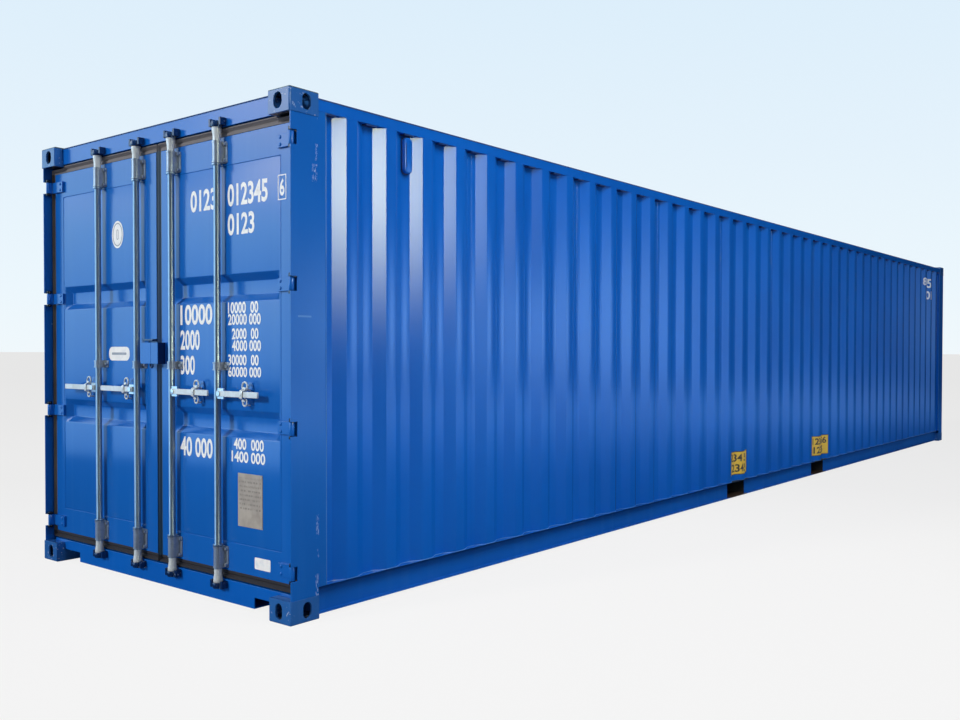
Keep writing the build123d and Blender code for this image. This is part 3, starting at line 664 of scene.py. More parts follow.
# Painted shade inside the castings' holes, and a dark grey band along the top of the castings
casting_painted_shade_and_top_band = [(*band(0.010, 0.168, low, high, casting_inner + 0.012, half_width - 0.010), 0.005,
                   "#0a1120") for low, high in ((0.012, 0.107), (2.4, 2.580))]
casting_painted_shade_and_top_band.append(((0, 0, height - 0.009), (9, 2, height + 1), 0.004, "#3c4a52"))
# Painted shade on the outer side of the lock box's right half
lock_box_painted_shade = [(*band(0.0125, 0.058, 0, 3, 0.0672, 0.0700), 0.0008, "#0b1c48")]
# Painted shade along the top of the bottom rails' web, under the flange above it
rail_painted_shade = [((0, 0, 0.128), (9, 1.195, 0.170), 0.020, "#0a2a5c")]

paint = enamel("semi_gloss_blue_enamel", "#0a61c3", "#095ab9", "#2b73c6")
door_paint = enamel("fresh_blue_door_enamel", "#1261be", "#105cb6", "#3d7bc6")
post_paint = enamel("blue_enamel_on_posts", "#1261b9", "#0f5ab0", "#3a78c4", shades=post_painted_shade_and_stripe,
                    scuffs=post_scuffs)
# The castings' blue is lighter and greyer than the other paint: painted reflection, along with real chips of
# wear
casting_wear_and_painted_reflection = enamel("cast_steel_enamel_wear_and_painted_reflection", "#2b63aa", "#245a9f", "#6086bb", wear=0.6,
                       shades=casting_painted_shade_and_top_band)
lock_box_paint = enamel("blue_enamel_on_lock_box", "#1b62bb", "#175ab0", "#3d7bc6", shades=lock_box_painted_shade)
rail_paint = enamel("blue_enamel_on_bottom_rails", "#1160bd", "#0f58b0", "#3a78c4", shades=rail_painted_shade)
strap_paint = enamel("dusty_enamel_on_pocket_straps", "#54433a", "#45372f", "#6a584a", gloss=0.50)
# Dark enamel of the keepers; on the rod crowns and the plate over the lock box it is painted shade
keeper_paint = enamel("dark_keeper_enamel_and_painted_shade", "#0f2d5c", "#0c244c", "#2c4a78", wear=0.5, gloss=0.45)
# Welds at the foot of the walls and beside the posts are a lighter blue: painted highlight
weld_painted_highlight = enamel("lighter_enamel_painted_highlight_on_welds", "#4b86c9", "#3a76bd", "#7aa4d6")
hub_shades = [((6.0, y + 0.0195, handle_height - 0.029), (6.2, y + 0.070, handle_height + 0.029), 0.001,
               "#dfe2de") for y in rod_places.values()]
zinc = galvanised_steel("galvanised_steel", "#aeb4ba", "#8a929a", "#7c8288", 0.40, 0.7)
rod_zinc = galvanised_steel("galvanised_rod_steel", "#a3b0b8", "#95a3ab", "#7d8b91", 0.34, shades=hub_shades)
pale_zinc = galvanised_steel("new_galvanised_steel", "#d9dcd9", "#c3c7c4", "#b7b7ae", 0.5, 0.35)
bolt_zinc = galvanised_steel("zinc_plated_bolts", "#b9bcbf", "#83878b", "#6f7173", 0.34)
rubber = seal_rubber()
underframe = bitumen_paint()
sealant_and_painted_shade = sealant()
plywood = floor_plywood()
data_plate = stamped_plate()
white_film = film("white_stencil_paint", "#eef1f4", "#cdd8e6")
grey_ink = film("grey_printing_ink", "#8f9aa8", "#a9b3bf")
yellow_film = film("yellow_vinyl_film", "#e8c02c", "#cfae4a")
brown_ink = film("brown_screen_ink", "#3a2f16", "#5a4a26")

SLOT_FINISH = {"painted_skin": paint, "painted_doors": door_paint, "painted_castings": casting_wear_and_painted_reflection,
               "dark_underframe": underframe, "keeper_paint": keeper_paint, "galvanised": zinc,
               "gasket_rubber": rubber, "plywood": plywood, "plate_metal": data_plate}
NODE_FINISH = {"rear_posts": post_paint, "hinge_pins": keeper_paint, "fork_pocket_straps": strap_paint,
               "bottom_rail_left": rail_paint, "bottom_rail_right": rail_paint}
NODE_FINISH.update({name: rod_zinc for name in frame["nodes"] if name.startswith("lock_rod_")})


def dress_nodes():
    """Gives every CAD node its finish, and softens the edges of steel."""
    for part in frame["record"]["subparts"]:
        name = part["node"]
        made = frame["nodes"][name]
        made.data.materials.clear()
        made.data.materials.append(NODE_FINISH.get(name, SLOT_FINISH[part["material_slot"]]))
        if name in ("floor", "cross_members", "roof"):
            continue
        weld = made.modifiers.new("weld", "WELD")
        weld.merge_threshold = 1e-5
        flat = made.modifiers.new("merge_flat_faces", "DECIMATE")
        flat.decimate_type = "DISSOLVE"
        flat.angle_limit = math.radians(1)
        casting = name.startswith("corner_castings")
        soften(made, casting_edge if casting else steel_edge, 3 if casting else 2)


def distances(name):
    """How far a node's inner and outer faces stand from the middle plane."""
    low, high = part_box(name)
    return sorted((abs(low.y), abs(high.y)))


def side_line(side):
    """Outline of a side wall seen from above: places along it and distances from the middle plane."""
    inner, outer = distances("side_wall_" + side)
    start, end = (corner.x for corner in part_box("side_wall_" + side))
    return wave(start, end, side_ribs, side_outer_flat, side_slope, side_inner_flat, inner + sheet, outer,
                side_bend)


def upright_weld(bead, x, y, low, high):
    """A weld bead straight up a side wall."""
    return swept(bead, [(x, y, low), (x, y, high)], (0, np.sign(y), 0))


def side_sheets():
    """Side walls and their welds: a ribbed line on each side, carried up from bottom rail to top rail."""
    pitch = side_outer_flat + side_inner_flat + 2 * side_slope
    foot_bead = weld_bead * np.array([(1, 0), (0.7, 0.8), (0, 1), (-0.7, 0.8), (-1, 0)])
    seam_bead = foot_bead * (1.0, seam_flatness)
    for side, sign in SIDES.items():
        low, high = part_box("side_wall_" + side)
        line = side_line(side)
        grid = grid_of(line[:, :1], sign * line[:, 1:], np.linspace(low.z, high.z, 5))
        piece("side_sheet_" + side, sheet_solid(grid, (0, -sign * sheet, 0)), paint,
              replaces=["side_wall_" + side])
        foot = np.column_stack([line[:, 0], sign * (line[:, 1] + 0.0003), np.full(len(line), low.z)])
        piece("side_foot_weld_" + side, swept(foot_bead, foot, (0, 0, 1)), weld_painted_highlight, crease=60)
        first = (low.x + high.x) / 2 - (side_ribs // 2) * pitch
        inner = sign * line[:, 1].min()
        seams = [upright_weld(seam_bead, first + index * pitch, inner, low.z + 0.01, high.z - 0.01)
                 for index in range(weld_every, side_ribs, weld_every)]
        piece("side_seam_welds_" + side, joined(seams), paint, crease=60)
        ends = [upright_weld(foot_bead, x, sign * (half_width - skin_inset), low.z, high.z)
                for x in (door_x + post_reach + 0.004, front_x - post_reach - 0.004)]
        piece("post_welds_" + side, joined(ends), weld_painted_highlight, crease=60)


def rail_shade_strips():
    """Painted shade under the top rails: in each recess of the wall, a thin dark plate that fills its top,
    where the rail overhangs it.
    """
    front = half_width - skin_inset - shade_strip_recess
    for side, sign in SIDES.items():
        line = side_line(side)
        middle = (line[:, 1].min() + front) / 2
        open_part = line[:, 1] < front - 0.0005
        starts = np.flatnonzero(open_part & ~np.r_[False, open_part[:-1]])
        ends = np.flatnonzero(open_part & ~np.r_[open_part[1:], False])
        strips = []
        for start, end in zip(starts, ends):
            edge = line[start:end + 1] - (0, 0.0004)
            if line[start:end + 1, 1].min() <= middle:
                outline = np.concatenate([edge, [(edge[-1, 0], front), (edge[0, 0], front)]])
                points, blocks = plate(outline, [(0, rail_foot - rail_shade_strip_thick), (0, rail_foot)])
                strips.append((points * (1, sign, 1), blocks))
        piece("rail_shade_strip_" + side, joined(strips), sealant_and_painted_shade)


def edge_sealant():
    """Dark beads along the upper edge of the door header and of both top rails."""
    bead = rectangle(*edge_bead)[:, ::-1]
    x = door_x + header_depth - 0.0005
    end = casting_inner - 0.004
    rise = header_top - edge_bead[1]
    beads = [swept(bead, [(x, -end, rise), (x, end, rise)], (0, 0, 1))]
    start = door_x + 0.180
    rise = rail_top - 0.002
    for sign in SIDES.values():
        edge = sign * (half_width - edge_bead[1])
        beads.append(swept(bead, [(start, edge, rise), (-start, edge, rise)], (0, 0, 1)))
    piece("edge_sealant", joined(beads), sealant_and_painted_shade)


def front_sheet():
    """Front wall: the same kind of ribbed line across the front end, with steeper slopes."""
    low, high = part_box("front_wall")
    line = wave(low.y, high.y, front_ribs, front_outer_flat, front_slope, front_inner_flat,
                low.x + sheet, high.x, front_bend)
    grid = grid_of(line[:, 1:], line[:, :1], np.linspace(low.z, high.z, 4))
    piece("front_sheet", sheet_solid(grid, (-sheet, 0, 0)), paint, replaces=["front_wall"])


def roof_sheet():
    """Roof: height is the lower of a ribbed line along the length and a single ramped line across it."""
    low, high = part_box("roof")
    gap = roof_rib_pitch - roof_rib_width
    along = wave(low.x, high.x, roof_ribs, roof_rib_width - 2 * roof_rib_slope, roof_rib_slope, gap,
                 0, roof_rib_height, roof_bend)
    edge = half_width - roof_margin
    across = rounded([(low.y, 0), (-edge, 0), (-edge + roof_rib_slope, roof_rib_height),
                      (edge - roof_rib_slope, roof_rib_height), (edge, 0), (high.y, 0)], roof_bend)
    rise = low.z + sheet + np.minimum(along[:, 1:], across[:, 1])
    piece("roof_sheet", sheet_solid(grid_of(along[:, :1], across[:, 0], rise), (0, 0, -sheet)), paint,
          replaces=["roof"])


def door_sheets():
    """Leaf panels: depth is the lower of a ramped line across and one up the leaf, two troughs high."""
    for side, sign in SIDES.items():
        low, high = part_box("door_panel_" + side)
        near, far = distances("door_panel_" + side)
        start = leaf_inner_edge + trough_from_edge
        end = leaf_outer_edge - trough_from_edge
        across = rounded([(near, 0), (start, 0), (start + trough_slope, trough_depth),
                          (end - trough_slope, trough_depth), (end, 0), (far, 0)], trough_bend)
        corners = [(low.z, 0)]
        for middle in trough_heights:
            half = trough_opening / 2
            corners += [(middle - half, 0), (middle - half + trough_slope, trough_depth),
                        (middle + half - trough_slope, trough_depth), (middle + half, 0)]
        across = with_edges(across)
        up = with_edges(rounded(corners + [(high.z, 0)], trough_bend))
        hollow = np.minimum(across[:, None, 1], up[:, 1])
        rim = np.maximum(across[:, None, 2], up[:, 2])
        grid = grid_of(door_x + leaf_depth + hollow + rim, sign * across[:, :1], up[:, 0])
        piece("door_sheet_" + side, sheet_solid(grid, (sheet, 0, 0)), door_paint, "door_" + side,
              ["door_panel_" + side])


def with_edges(line):
    """A line of places and depths, with a groove added near both ends as a third value."""
    start = line[0, 0]
    end = line[-1, 0]
    half = groove_width / 2
    extra = [start + half, start + groove_width, end - groove_width, end - half]
    places = np.unique(np.r_[line[:, 0], extra])
    depth = np.interp(places, line[:, 0], line[:, 1])
    gap = np.minimum(places - start, end - places)
    groove = panel_groove * np.clip(1 - gap / groove_width, 0, 1) ** 2
    return np.column_stack([places, depth, groove])


def door_seals():
    """Door seals: between the leaf's edge and an outer outline, a flat flange, a valley and a lip.

    The section gives each point's share of the way outwards and its depth.
    """
    section = np.array([(0.02, 0.116), (0.02, 0.070), (0.05, 0.0665), (0.34, 0.0665), (0.40, 0.0685),
                        (0.46, 0.0730), (0.52, 0.0740), (0.60, 0.0715), (0.70, 0.0640), (0.82, 0.0570),
                        (0.92, 0.0560), (0.98, 0.0600), (1.00, 0.0700), (0.97, 0.0980), (0.97, seal_back),
                        (0.50, seal_back)])
    outer = rounded([(seal_inner_edge, seal_bottom), (seal_outer_edge, seal_bottom),
                     (seal_outer_edge, seal_low_top), (seal_step, seal_low_top),
                     (seal_step, seal_top), (seal_inner_edge, seal_top)], 0.006, closed=True)
    inner = rounded([(leaf_inner_edge, leaf_bottom), (leaf_outer_edge, leaf_bottom),
                     (leaf_outer_edge, leaf_top), (seal_step + 0.001, leaf_top),
                     (seal_step - 0.001, leaf_top), (leaf_inner_edge, leaf_top)], 0.001, closed=True)
    share = section[:, :1]
    across = inner[:, None] * (1 - share) + outer[:, None] * share
    faces = grid_faces(len(inner), len(section), wrap_rows=True, wrap_columns=True)
    for side, sign in SIDES.items():
        grid = grid_of(door_x + section[:, 1], sign * across[..., 0], across[..., 1])
        piece("door_seal_" + side, (grid.reshape(-1, 3), [faces]), rubber, "door_" + side,
              ["door_gasket_" + side])


def on_leaf(shape, side, places=((0.0, 0.0, 0.0),)):
    """Copies of a shape drawn as distance from the leaves' meeting line, height and rise off the leaf."""
    points, blocks = repeated(shape, places)
    depth = door_x + leaf_depth - points[:, 2]
    return np.column_stack([depth, SIDES[side] * points[:, 0], points[:, 1]]), blocks


def leaf_piece(name, side, shape, finish, replaces=(), places=((0.0, 0.0, 0.0),)):
    """A piece that rides on a door, from copies of a shape drawn on its leaf."""
    return piece(name, on_leaf(shape, side, places), finish, "door_" + side, replaces)


def upright_section(outline, low, high):
    """Closed solid on an outline of across and out, carried up from one height to another."""
    points, blocks = plate(outline, [(0, low), (0, high)])
    return points[:, [0, 2, 1]], blocks


def turned(profile, count=24):
    """Closed ring about the upright axis from a closed profile of radius and height."""
    angle = 2 * np.pi * np.arange(count) / count
    radius, rise = np.asarray(profile, float).T[..., None]
    grid = grid_of(radius * np.cos(angle), radius * np.sin(angle), rise)
    return grid.reshape(-1, 3), [grid_faces(len(profile), count, wrap_rows=True, wrap_columns=True)]


def strap_section(grow=0.0):
    """Outline of a strap bent round a rod: two legs from the leaf and a half ring between them."""
    centre = leaf_depth - rod_depth
    angle = np.linspace(0, np.pi, 13)
    ring = np.column_stack([np.cos(angle), np.sin(angle)])
    outer = (strap_radius + grow) * ring + (0, centre)
    inner = strap_bore * ring[::-1] + (0, centre)
    return np.concatenate([[(strap_radius + grow, 0.003)], outer, [(-strap_radius - grow, 0.003)],
                           [(-strap_bore, 0.003)], inner, [(strap_bore, 0.003)]])


def bracket(size, lip, bolt_places):
    """Rod bracket: a plate on the leaf, a strap round the rod with a lip at both ends, and its bolts."""
    wide, tall = size
    shapes = [flat_plate(rectangle(wide, tall, 0.006), fitting_plate),
              upright_section(strap_section(), -tall / 2 + 0.002, tall / 2 - 0.002)]
    for foot in (-tall / 2, tall / 2 - lip):
        shapes.append(upright_section(strap_section(strap_lip), foot, foot + lip))
    head = bolt(0.017, 0.009, 0.011)
    return joined(shapes + [shifted(head, across, up, fitting_plate) for across, up in bolt_places])


def rod_brackets():
    """Bearings high and low on each rod and a guide above each handle, in place of the plain fittings."""
    bolts = [(across, up) for across in (-bearing_bolt_across, bearing_bolt_across)
             for up in (-bearing_bolt_up, bearing_bolt_up)]
    guide_bolts = [(-guide_bolt_across, 0.0), (guide_bolt_across, 0.0)]
    bearings = [(y, z, 0) for y in rod_places.values() for z in bearing_heights]
    guides = [(y, guide_height, 0) for y in rod_places.values()]
    shape = joined([repeated(bracket(bearing_size, 0.008, bolts), bearings),
                    repeated(bracket(guide_size, 0.006, guide_bolts), guides)])
    for side in SIDES:
        leaf_piece("rod_brackets_" + side, side, shape, zinc, ["rod_fittings_" + side])


def handle_retainers():
    """Handle retainers: a painted plate on the leaf with an upper and a lower ring on short stems."""
    backing = flat_plate(rectangle(*retainer_plate, 0.008), 0.004)
    rise = leaf_depth - retainer_depth
    rings = []
    for up, radius, wire in ((retainer_ring, 0.0205, 0.0048), (-retainer_ring, 0.0165, 0.0042)):
        path = np.column_stack([circle(radius, 20) * (1, 1.08) + (0, up), np.full(20, rise)])
        rings.append(swept(circle(wire, 8), path, (0, 0, 1), closed=True))
        foot = up - 0.9 * radius
        rings.append(swept(circle(wire, 8), [(0, foot, 0.002), (0, foot, rise)], (1, 0, 0)))
    for side in SIDES:
        centres = [(y + hasp_places[side], handle_height, 0) for y in rod_places.values()]
        leaf_piece("handle_retainer_plates_" + side, side, backing, door_paint, places=centres)
        leaf_piece("handle_retainer_rings_" + side, side, joined(rings), pale_zinc,
                   places=centres)


def handles():
    """Door handles: a flat bar with square ends, and a hasp bent over it."""
    tall, thick = handle_bar
    back = leaf_depth - handle_back
    bar = plate(rectangle(handle_reach - handle_start, tall, 0.003),
                [(0.0015, back), (0, back + 0.0015), (0, back + thick - 0.0015), (0.0015, back + thick)])
    step = [(0.004, 0.037, 0.040), (0.003, 0.026, 0.0415), (0.002, 0.019, 0.0580), (0.0, 0.012, 0.0595),
            (-0.001, -0.012, 0.0595), (-0.003, -0.019, 0.0580), (-0.004, -0.026, 0.0415),
            (-0.005, -0.037, 0.040)]
    hasp = swept(rectangle(hasp_width, 0.0035, 0.001, 2), step, (0, 0, 1))
    rivet = plate(circle(0.0065, 16), [(0, 0), (0, 0.0010), (0.0015, 0.0022)])
    for side in SIDES:
        for place, rod in rod_places.items():
            clasp = rod + hasp_places[side]
            shape = joined([shifted(bar, rod + (handle_start + handle_reach) / 2, handle_height, 0),
                            shifted(hasp, clasp, handle_height, 0),
                            shifted(rivet, clasp, handle_height, 0.0608)])
            name = side + "_" + place
            piece("handle_bar_" + name, on_leaf(shape, side), pale_zinc, "handle_" + name,
                  ["handle_" + name])


def rod_ends():
    """Ends of the lock rods: a cone that widens to a collar, then a crown between the keeper's jaws, in dark
    keeper enamel as painted shade over galvanised steel.
    """
    fall = rod_crown_height - rod_middle
    cone = [(0.0168, fall - 0.070), (0.0200, fall - 0.070), (0.0200, fall - 0.046), (0.0245, fall - 0.016),
            (0.0250, fall - 0.004), (0.0230, fall), (0.0168, fall)]
    crown = [(0.0100, fall), (0.0270, fall), (0.0300, fall + 0.006), (0.0300, fall + 0.018),
             (0.0265, fall + 0.030), (0.0215, fall + 0.0315), (0.0100, fall + 0.0315)]
    for side, sign in SIDES.items():
        for place, y in rod_places.items():
            for name, profile, finish, slot in (("rod_collars_", cone, pale_zinc, "galvanised"),
                                                ("rod_crowns_", crown, keeper_paint, "keeper_paint")):
                top, faces = turned(profile)
                both = joined([(top, faces), (top * (1, 1, -1), faces)])
                piece(name + side + "_" + place, shifted(both, door_x + rod_depth, sign * y, rod_middle),
                      finish, "lock_rod_" + side + "_" + place)


def lock_boxes():
    """Lock box in two halves over the meeting line: a front, an outer side and a top on each leaf."""
    rise = leaf_depth - lock_box_depth
    thick = lock_box_plate
    near = lock_box_gap
    for side in SIDES:
        reach = lock_box_reach[side]
        wall = np.array([(near, rise - thick), (reach - thick, rise - thick), (reach - thick, 0), (reach, 0),
                         (reach, rise), (near, rise)])
        under = np.array([(near, 0), (reach - thick, 0), (reach - thick, rise - thick), (near, rise - thick)])
        shell = joined([upright_section(wall, lock_box_low, lock_box_high),
                        upright_section(under, lock_box_high - thick, lock_box_high)])
        # The right half's enamel darkens its outer side: painted shade
        made = leaf_piece("lock_box_shell_" + side, side, shell,
                          lock_box_paint if side == "right" else door_paint, replaces=["lock_box_" + side])
        soften(made, lock_box_edge)
    # A dark plate above the left half: painted shade for the gap over the box
    shade_plate = flat_plate(rectangle(*lock_shade_plate_size, 0.003), lock_shade_plate_proud)
    leaf_piece("lock_box_shade_plate", "left", shade_plate, keeper_paint,
               places=[(lock_shade_plate_centre, lock_box_high + lock_shade_plate_above_box, 0.0)])
    bend = np.linspace(0, np.pi, 9)
    loop = np.column_stack([staple_centre - staple_half * np.cos(bend),
                            lock_box_low - 0.012 - 0.010 * np.sin(bend), np.full(9, staple_out)])
    top = lock_box_low + 0.004
    path = np.concatenate([[(staple_centre - staple_half, top, staple_out)], loop,
                           [(staple_centre + staple_half, top, staple_out)]])
    staple = swept(circle(0.004, 8), path, (0, 0, 1))
    leaf_piece("lock_box_staple", "left", staple, keeper_paint)


def vents():
    """Vents: a pressed cover with round ends on a dark gasket, high on each side wall."""
    wide, tall = vent_size
    soft = 0.008
    levels = [(0, 0)]
    for angle in np.linspace(0, np.pi / 2, 5):
        levels.append((soft * (1 - math.cos(angle)), vent_proud - soft * (1 - math.sin(angle))))
    cover = plate(rectangle(wide, tall, 0.024, 7), levels)
    base = plate(rectangle(wide + 0.006, tall + 0.010, 0.027, 7), [(0, 0), (0, 0.010)])
    slot = plate(rectangle(0.004, 0.130, 0.002, 3), [(0, 0.004), (0, vent_proud + 0.0006)])
    gasket = joined([base, shifted(slot, -0.019, 0, 0)])
    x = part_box("side_vents")[0].x + vent_foot_half
    inner = side_line("left")[:, 1].min()
    for side in ("right", "left"):
        centre = (-SIDES[side] * x, SIDES[side] * inner, vent_centre_height)
        piece("vent_cover_" + side, on_wall(cover, side, centre), paint,
              replaces=["side_vents"] if side == "right" else ())
        piece("vent_gasket_" + side, on_wall(gasket, side, centre), sealant_and_painted_shade)


def hinge_rivets():
    """Round heads that hold each hinge strap to its leaf: two on a strap."""
    head = plate(circle(0.009, 16), [(0, 0), (0, 0.0015), (0.002, 0.0035), (0.005, 0.0048)])
    places = [(hinge_rivet_place, z + up, hinge_strap_proud) for z in hinge_heights
              for up in (-hinge_rivet_half_pitch, hinge_rivet_half_pitch)]
    for side in SIDES:
        leaf_piece("hinge_rivets_" + side, side, head, door_paint, places=places)


def plate_rivets():
    """Rivets at the corners of the data plate."""
    low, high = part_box("data_plate")
    head = plate(circle(0.004, 12), [(0, 0), (0, 0.001), (0.002, 0.002)])
    places = [(across, up, leaf_depth + door_x - low.x) for across in (-high.y + 0.010, -low.y - 0.010)
              for up in (low.z + 0.012, high.z - 0.012)]
    leaf_piece("data_plate_rivets", "right", head, bolt_zinc, places=places)


def numerals(text, tall, narrow):
    """Plain bold figures as a flat mesh outline, a given height tall, squeezed to a width."""
    curve = bpy.data.curves.new("figures", "FONT")
    curve.body = text
    curve.offset = 0.026
    curve.resolution_u = 4
    maker = put("figures", curve)
    bpy.context.view_layer.update()
    mesh = bpy.data.meshes.new_from_object(maker.evaluated_get(bpy.context.evaluated_depsgraph_get()))
    points = mesh_points(mesh)
    faces = [list(polygon.vertices) for polygon in mesh.polygons]
    bpy.data.objects.remove(maker)
    bpy.data.curves.remove(curve)
    bpy.data.meshes.remove(mesh)
    points[:, :2] -= points[:, :2].min(0)
    points[:, 1] *= tall / points[:, 1].max()
    points[:, 0] *= narrow / points[:, 0].max()
    return points, faces


def mesh_points(mesh):
    """The places of a mesh's vertices."""
    flat = np.zeros(len(mesh.vertices) * 3)
    mesh.vertices.foreach_get("co", flat)
    return flat.reshape(-1, 3)


def marking(name, rows, surface, finish, body, cuts=()):
    """Rows of figures laid on a surface: each is text, left end, foot, height and total width."""
    work = bmesh.new()
    for text, left, foot, tall, wide in rows:
        points, faces = numerals(text, tall, wide)
        corners = [work.verts.new(point) for point in points + (left, foot, 0)]
        for face in faces:
            work.faces.new([corners[index] for index in face])
    for place in cuts:
        bmesh.ops.bisect_plane(work, geom=work.verts[:] + work.edges[:] + work.faces[:],
                               plane_co=(place, 0, 0), plane_no=(1, 0, 0))
    mesh = bpy.data.meshes.new(name)
    work.to_mesh(mesh)
    work.free()
    flat = mesh_points(mesh)
    mesh.vertices.foreach_set("co", surface(flat[:, 0], flat[:, 1]).ravel())
    laid(name, mesh, finish, body)


def leaf_surface(side, lift=label_lift):
    """A function that puts points, across from the meeting line and up, just in front of a leaf."""
    def surface(across, up):
        return np.column_stack([np.full_like(across, door_x + leaf_depth - lift), SIDES[side] * across, up])
    return surface


def wall_surface(side, lift=0.0006):
    """A function that puts points, across as seen and up, just outside the ribbed line of a side wall."""
    line = side_line(side)
    def surface(across, up):
        along = -SIDES[side] * across
        return np.column_stack([along, SIDES[side] * (np.interp(along, line[:, 0], line[:, 1]) + lift), up])
    return surface


def door_markings():
    """Plain figures where the photograph shows lettering: none is a real number of this container."""
    rows = [("0123", 0.308, 2.068, 0.116, 0.232), ("012345", 0.640, 2.070, 0.116, 0.330),
            ("0123", 0.640, 1.921, 0.112, 0.222), ("10000", 0.208, 1.464, 0.110, 0.294),
            ("2000", 0.208, 1.329, 0.108, 0.180), ("300", 0.208, 1.195, 0.104, 0.134),
            ("10000  00", 0.640, 1.517, 0.060, 0.252), ("20000 000", 0.640, 1.458, 0.058, 0.272),
            ("2000  00", 0.673, 1.384, 0.057, 0.220), ("4000 000", 0.673, 1.323, 0.057, 0.240),
            ("30000  00", 0.640, 1.250, 0.056, 0.254), ("60000 000", 0.640, 1.190, 0.054, 0.274),
            ("40 000", 0.205, 0.752, 0.106, 0.296), ("400  000", 0.686, 0.817, 0.058, 0.248),
            ("1400 000", 0.667, 0.751, 0.058, 0.278), ("6", 1.064, 2.086, 0.084, 0.036)]
    marking("door_figures", rows, leaf_surface("right"), white_film, "door_right")


def flat_label(name, side, outline, centre, finish, hole=None, lift=label_lift):
    """A label on a leaf: a filled outline about a centre, or a ring between it and a smaller one."""
    count = len(outline)
    flat = outline + centre
    faces = [list(range(count))]
    if hole is not None:
        flat = np.concatenate([flat, hole + centre])
        faces = grid_faces(2, count, wrap_columns=True).tolist()
    mesh = bpy.data.meshes.new(name)
    mesh.from_pydata(leaf_surface(side, lift)(flat[:, 0], flat[:, 1]).tolist(), [], faces)
    laid(name, mesh, finish, "door_" + side)


def labels():
    """Blank white labels, a plain disc with a ring, and the thin box round the last figure."""
    disc = (0.434, 2.006)
    narrow = (0.4225, 1.3065)
    flat_label("figure_box", "right", rectangle(0.064, 0.124, 0.004, 3), (1.082, 2.128), white_film,
               rectangle(0.054, 0.114, 0.003, 3))
    flat_label("lower_label", "right", rectangle(0.127, 0.060, 0.006), (0.9215, 0.248), white_film)
    flat_label("disc_label", "left", circle(1.0, 40) * (0.062, 0.080), disc, white_film)
    flat_label("disc_ring", "left", circle(1.0, 40) * (0.053, 0.069), disc, grey_ink,
               circle(1.0, 40) * (0.047, 0.062), print_lift)
    flat_label("disc_figure", "left", rectangle(0.022, 0.060, 0.010, 5), disc, grey_ink,
               rectangle(0.012, 0.050, 0.005, 5), print_lift)
    flat_label("narrow_label", "left", rectangle(0.226, 0.081, 0.034, 7), narrow, white_film)
    flat_label("narrow_label_line", "left", rectangle(0.160, 0.014, 0.006), narrow, grey_ink,
               lift=print_lift)


def points_between(side, low, high):
    """Where a side wall's line bends between two places, across as seen."""
    line = np.sort(-SIDES[side] * side_line(side)[:, 0])
    return line[(line > low) & (line < high)]


def stickers():
    """Yellow stickers at the fork pockets: a border and a film that follow the ribs, with plain figures."""
    wide, tall = sticker_size
    rim = 0.007
    for side in SIDES:
        for place in (-pocket_x, pocket_x):
            start = place - wide / 2
            end = place + wide / 2
            name = side + ("_door_end" if -SIDES[side] * place < 0 else "_front_end")
            for part, edge, lift, finish in (("sticker_border_", 0.0, 0.0005, brown_ink),
                                             ("sticker_film_", rim, 0.0007, yellow_film)):
                inside = points_between(side, start + edge + 0.001, end - edge - 0.001)
                run = np.r_[start + edge, inside, end - edge]
                heights = sticker_foot + np.array([edge, tall - edge])
                across, up = np.meshgrid(run, heights, indexing="ij")
                mesh = bpy.data.meshes.new(part + name)
                mesh.from_pydata(wall_surface(side, lift)(across.ravel(), up.ravel()).tolist(), [],
                                 grid_faces(len(run), 2).tolist())
                laid(part + name, mesh, finish, "container")
            rows = [("1234 56", start + 0.030, sticker_foot + 0.118, 0.072, wide - 0.06),
                    ("12345", start + 0.050, sticker_foot + 0.024, 0.072, wide - 0.13)]
            marking("sticker_figures_" + name, rows, wall_surface(side, print_lift), brown_ink, "container",
                    points_between(side, start + 0.001, end - 0.001))


def wall_marks():
    """Small plain figures high at the far end of each side wall."""
    for side in SIDES:
        near = front_x - 0.93 if side == "right" else 0.60 - front_x
        rows = [("88", near - 0.10, 2.275, 0.110, 0.150), ("5", near + 0.15, 2.250, 0.130, 0.090),
                ("01", near + 0.13, 2.085, 0.120, 0.130)]
        marking("wall_figures_" + side, rows, wall_surface(side), white_film, "container",
                points_between(side, near - 0.2, near + 0.4))


def camera():
    """Camera at the photograph's place, direction, roll and lens."""
    data = bpy.data.cameras.new("camera")
    data.sensor_width = sensor_width
    data.lens = focal_pixels * sensor_width / image_width
    data.shift_x = (image_width / 2 - principal_x) / image_width
    data.shift_y = (principal_y - image_height / 2) / image_width
    data.clip_end = 2000
    ahead = Vector((math.cos(camera_heading) * math.cos(camera_pitch),
                    math.sin(camera_heading) * math.cos(camera_pitch), math.sin(camera_pitch)))
    level = Vector((math.sin(camera_heading), -math.cos(camera_heading), 0))
    upright = level.cross(ahead)
    right = level * math.cos(camera_roll) + upright * math.sin(camera_roll)
    up = upright * math.cos(camera_roll) - level * math.sin(camera_roll)
    turn = Matrix((right, up, -ahead)).transposed().to_4x4()
    made = put("camera", data)
    made.matrix_world = Matrix.Translation(camera_place) @ turn
    bpy.context.scene.camera = made


def lamp(name, kind, place, target, energy, size, colour="#ffffff"):
    """A lamp that points from a place at a target; a sun's size is its angle."""
    data = bpy.data.lights.new(name, kind)
    data.energy = energy
    data.color = linear(colour)[:3]
    if kind == "AREA":
        data.shape = "RECTANGLE"
        data.size, data.size_y = size
    else:
        data.angle = size[0]
    made = put(name, data)
    made.location = place
    made.rotation_mode = "QUATERNION"
    made.rotation_quaternion = (Vector(target) - Vector(place)).to_track_quat("-Z", "Y")
    made.visible_camera = False
    made.visible_glossy = False


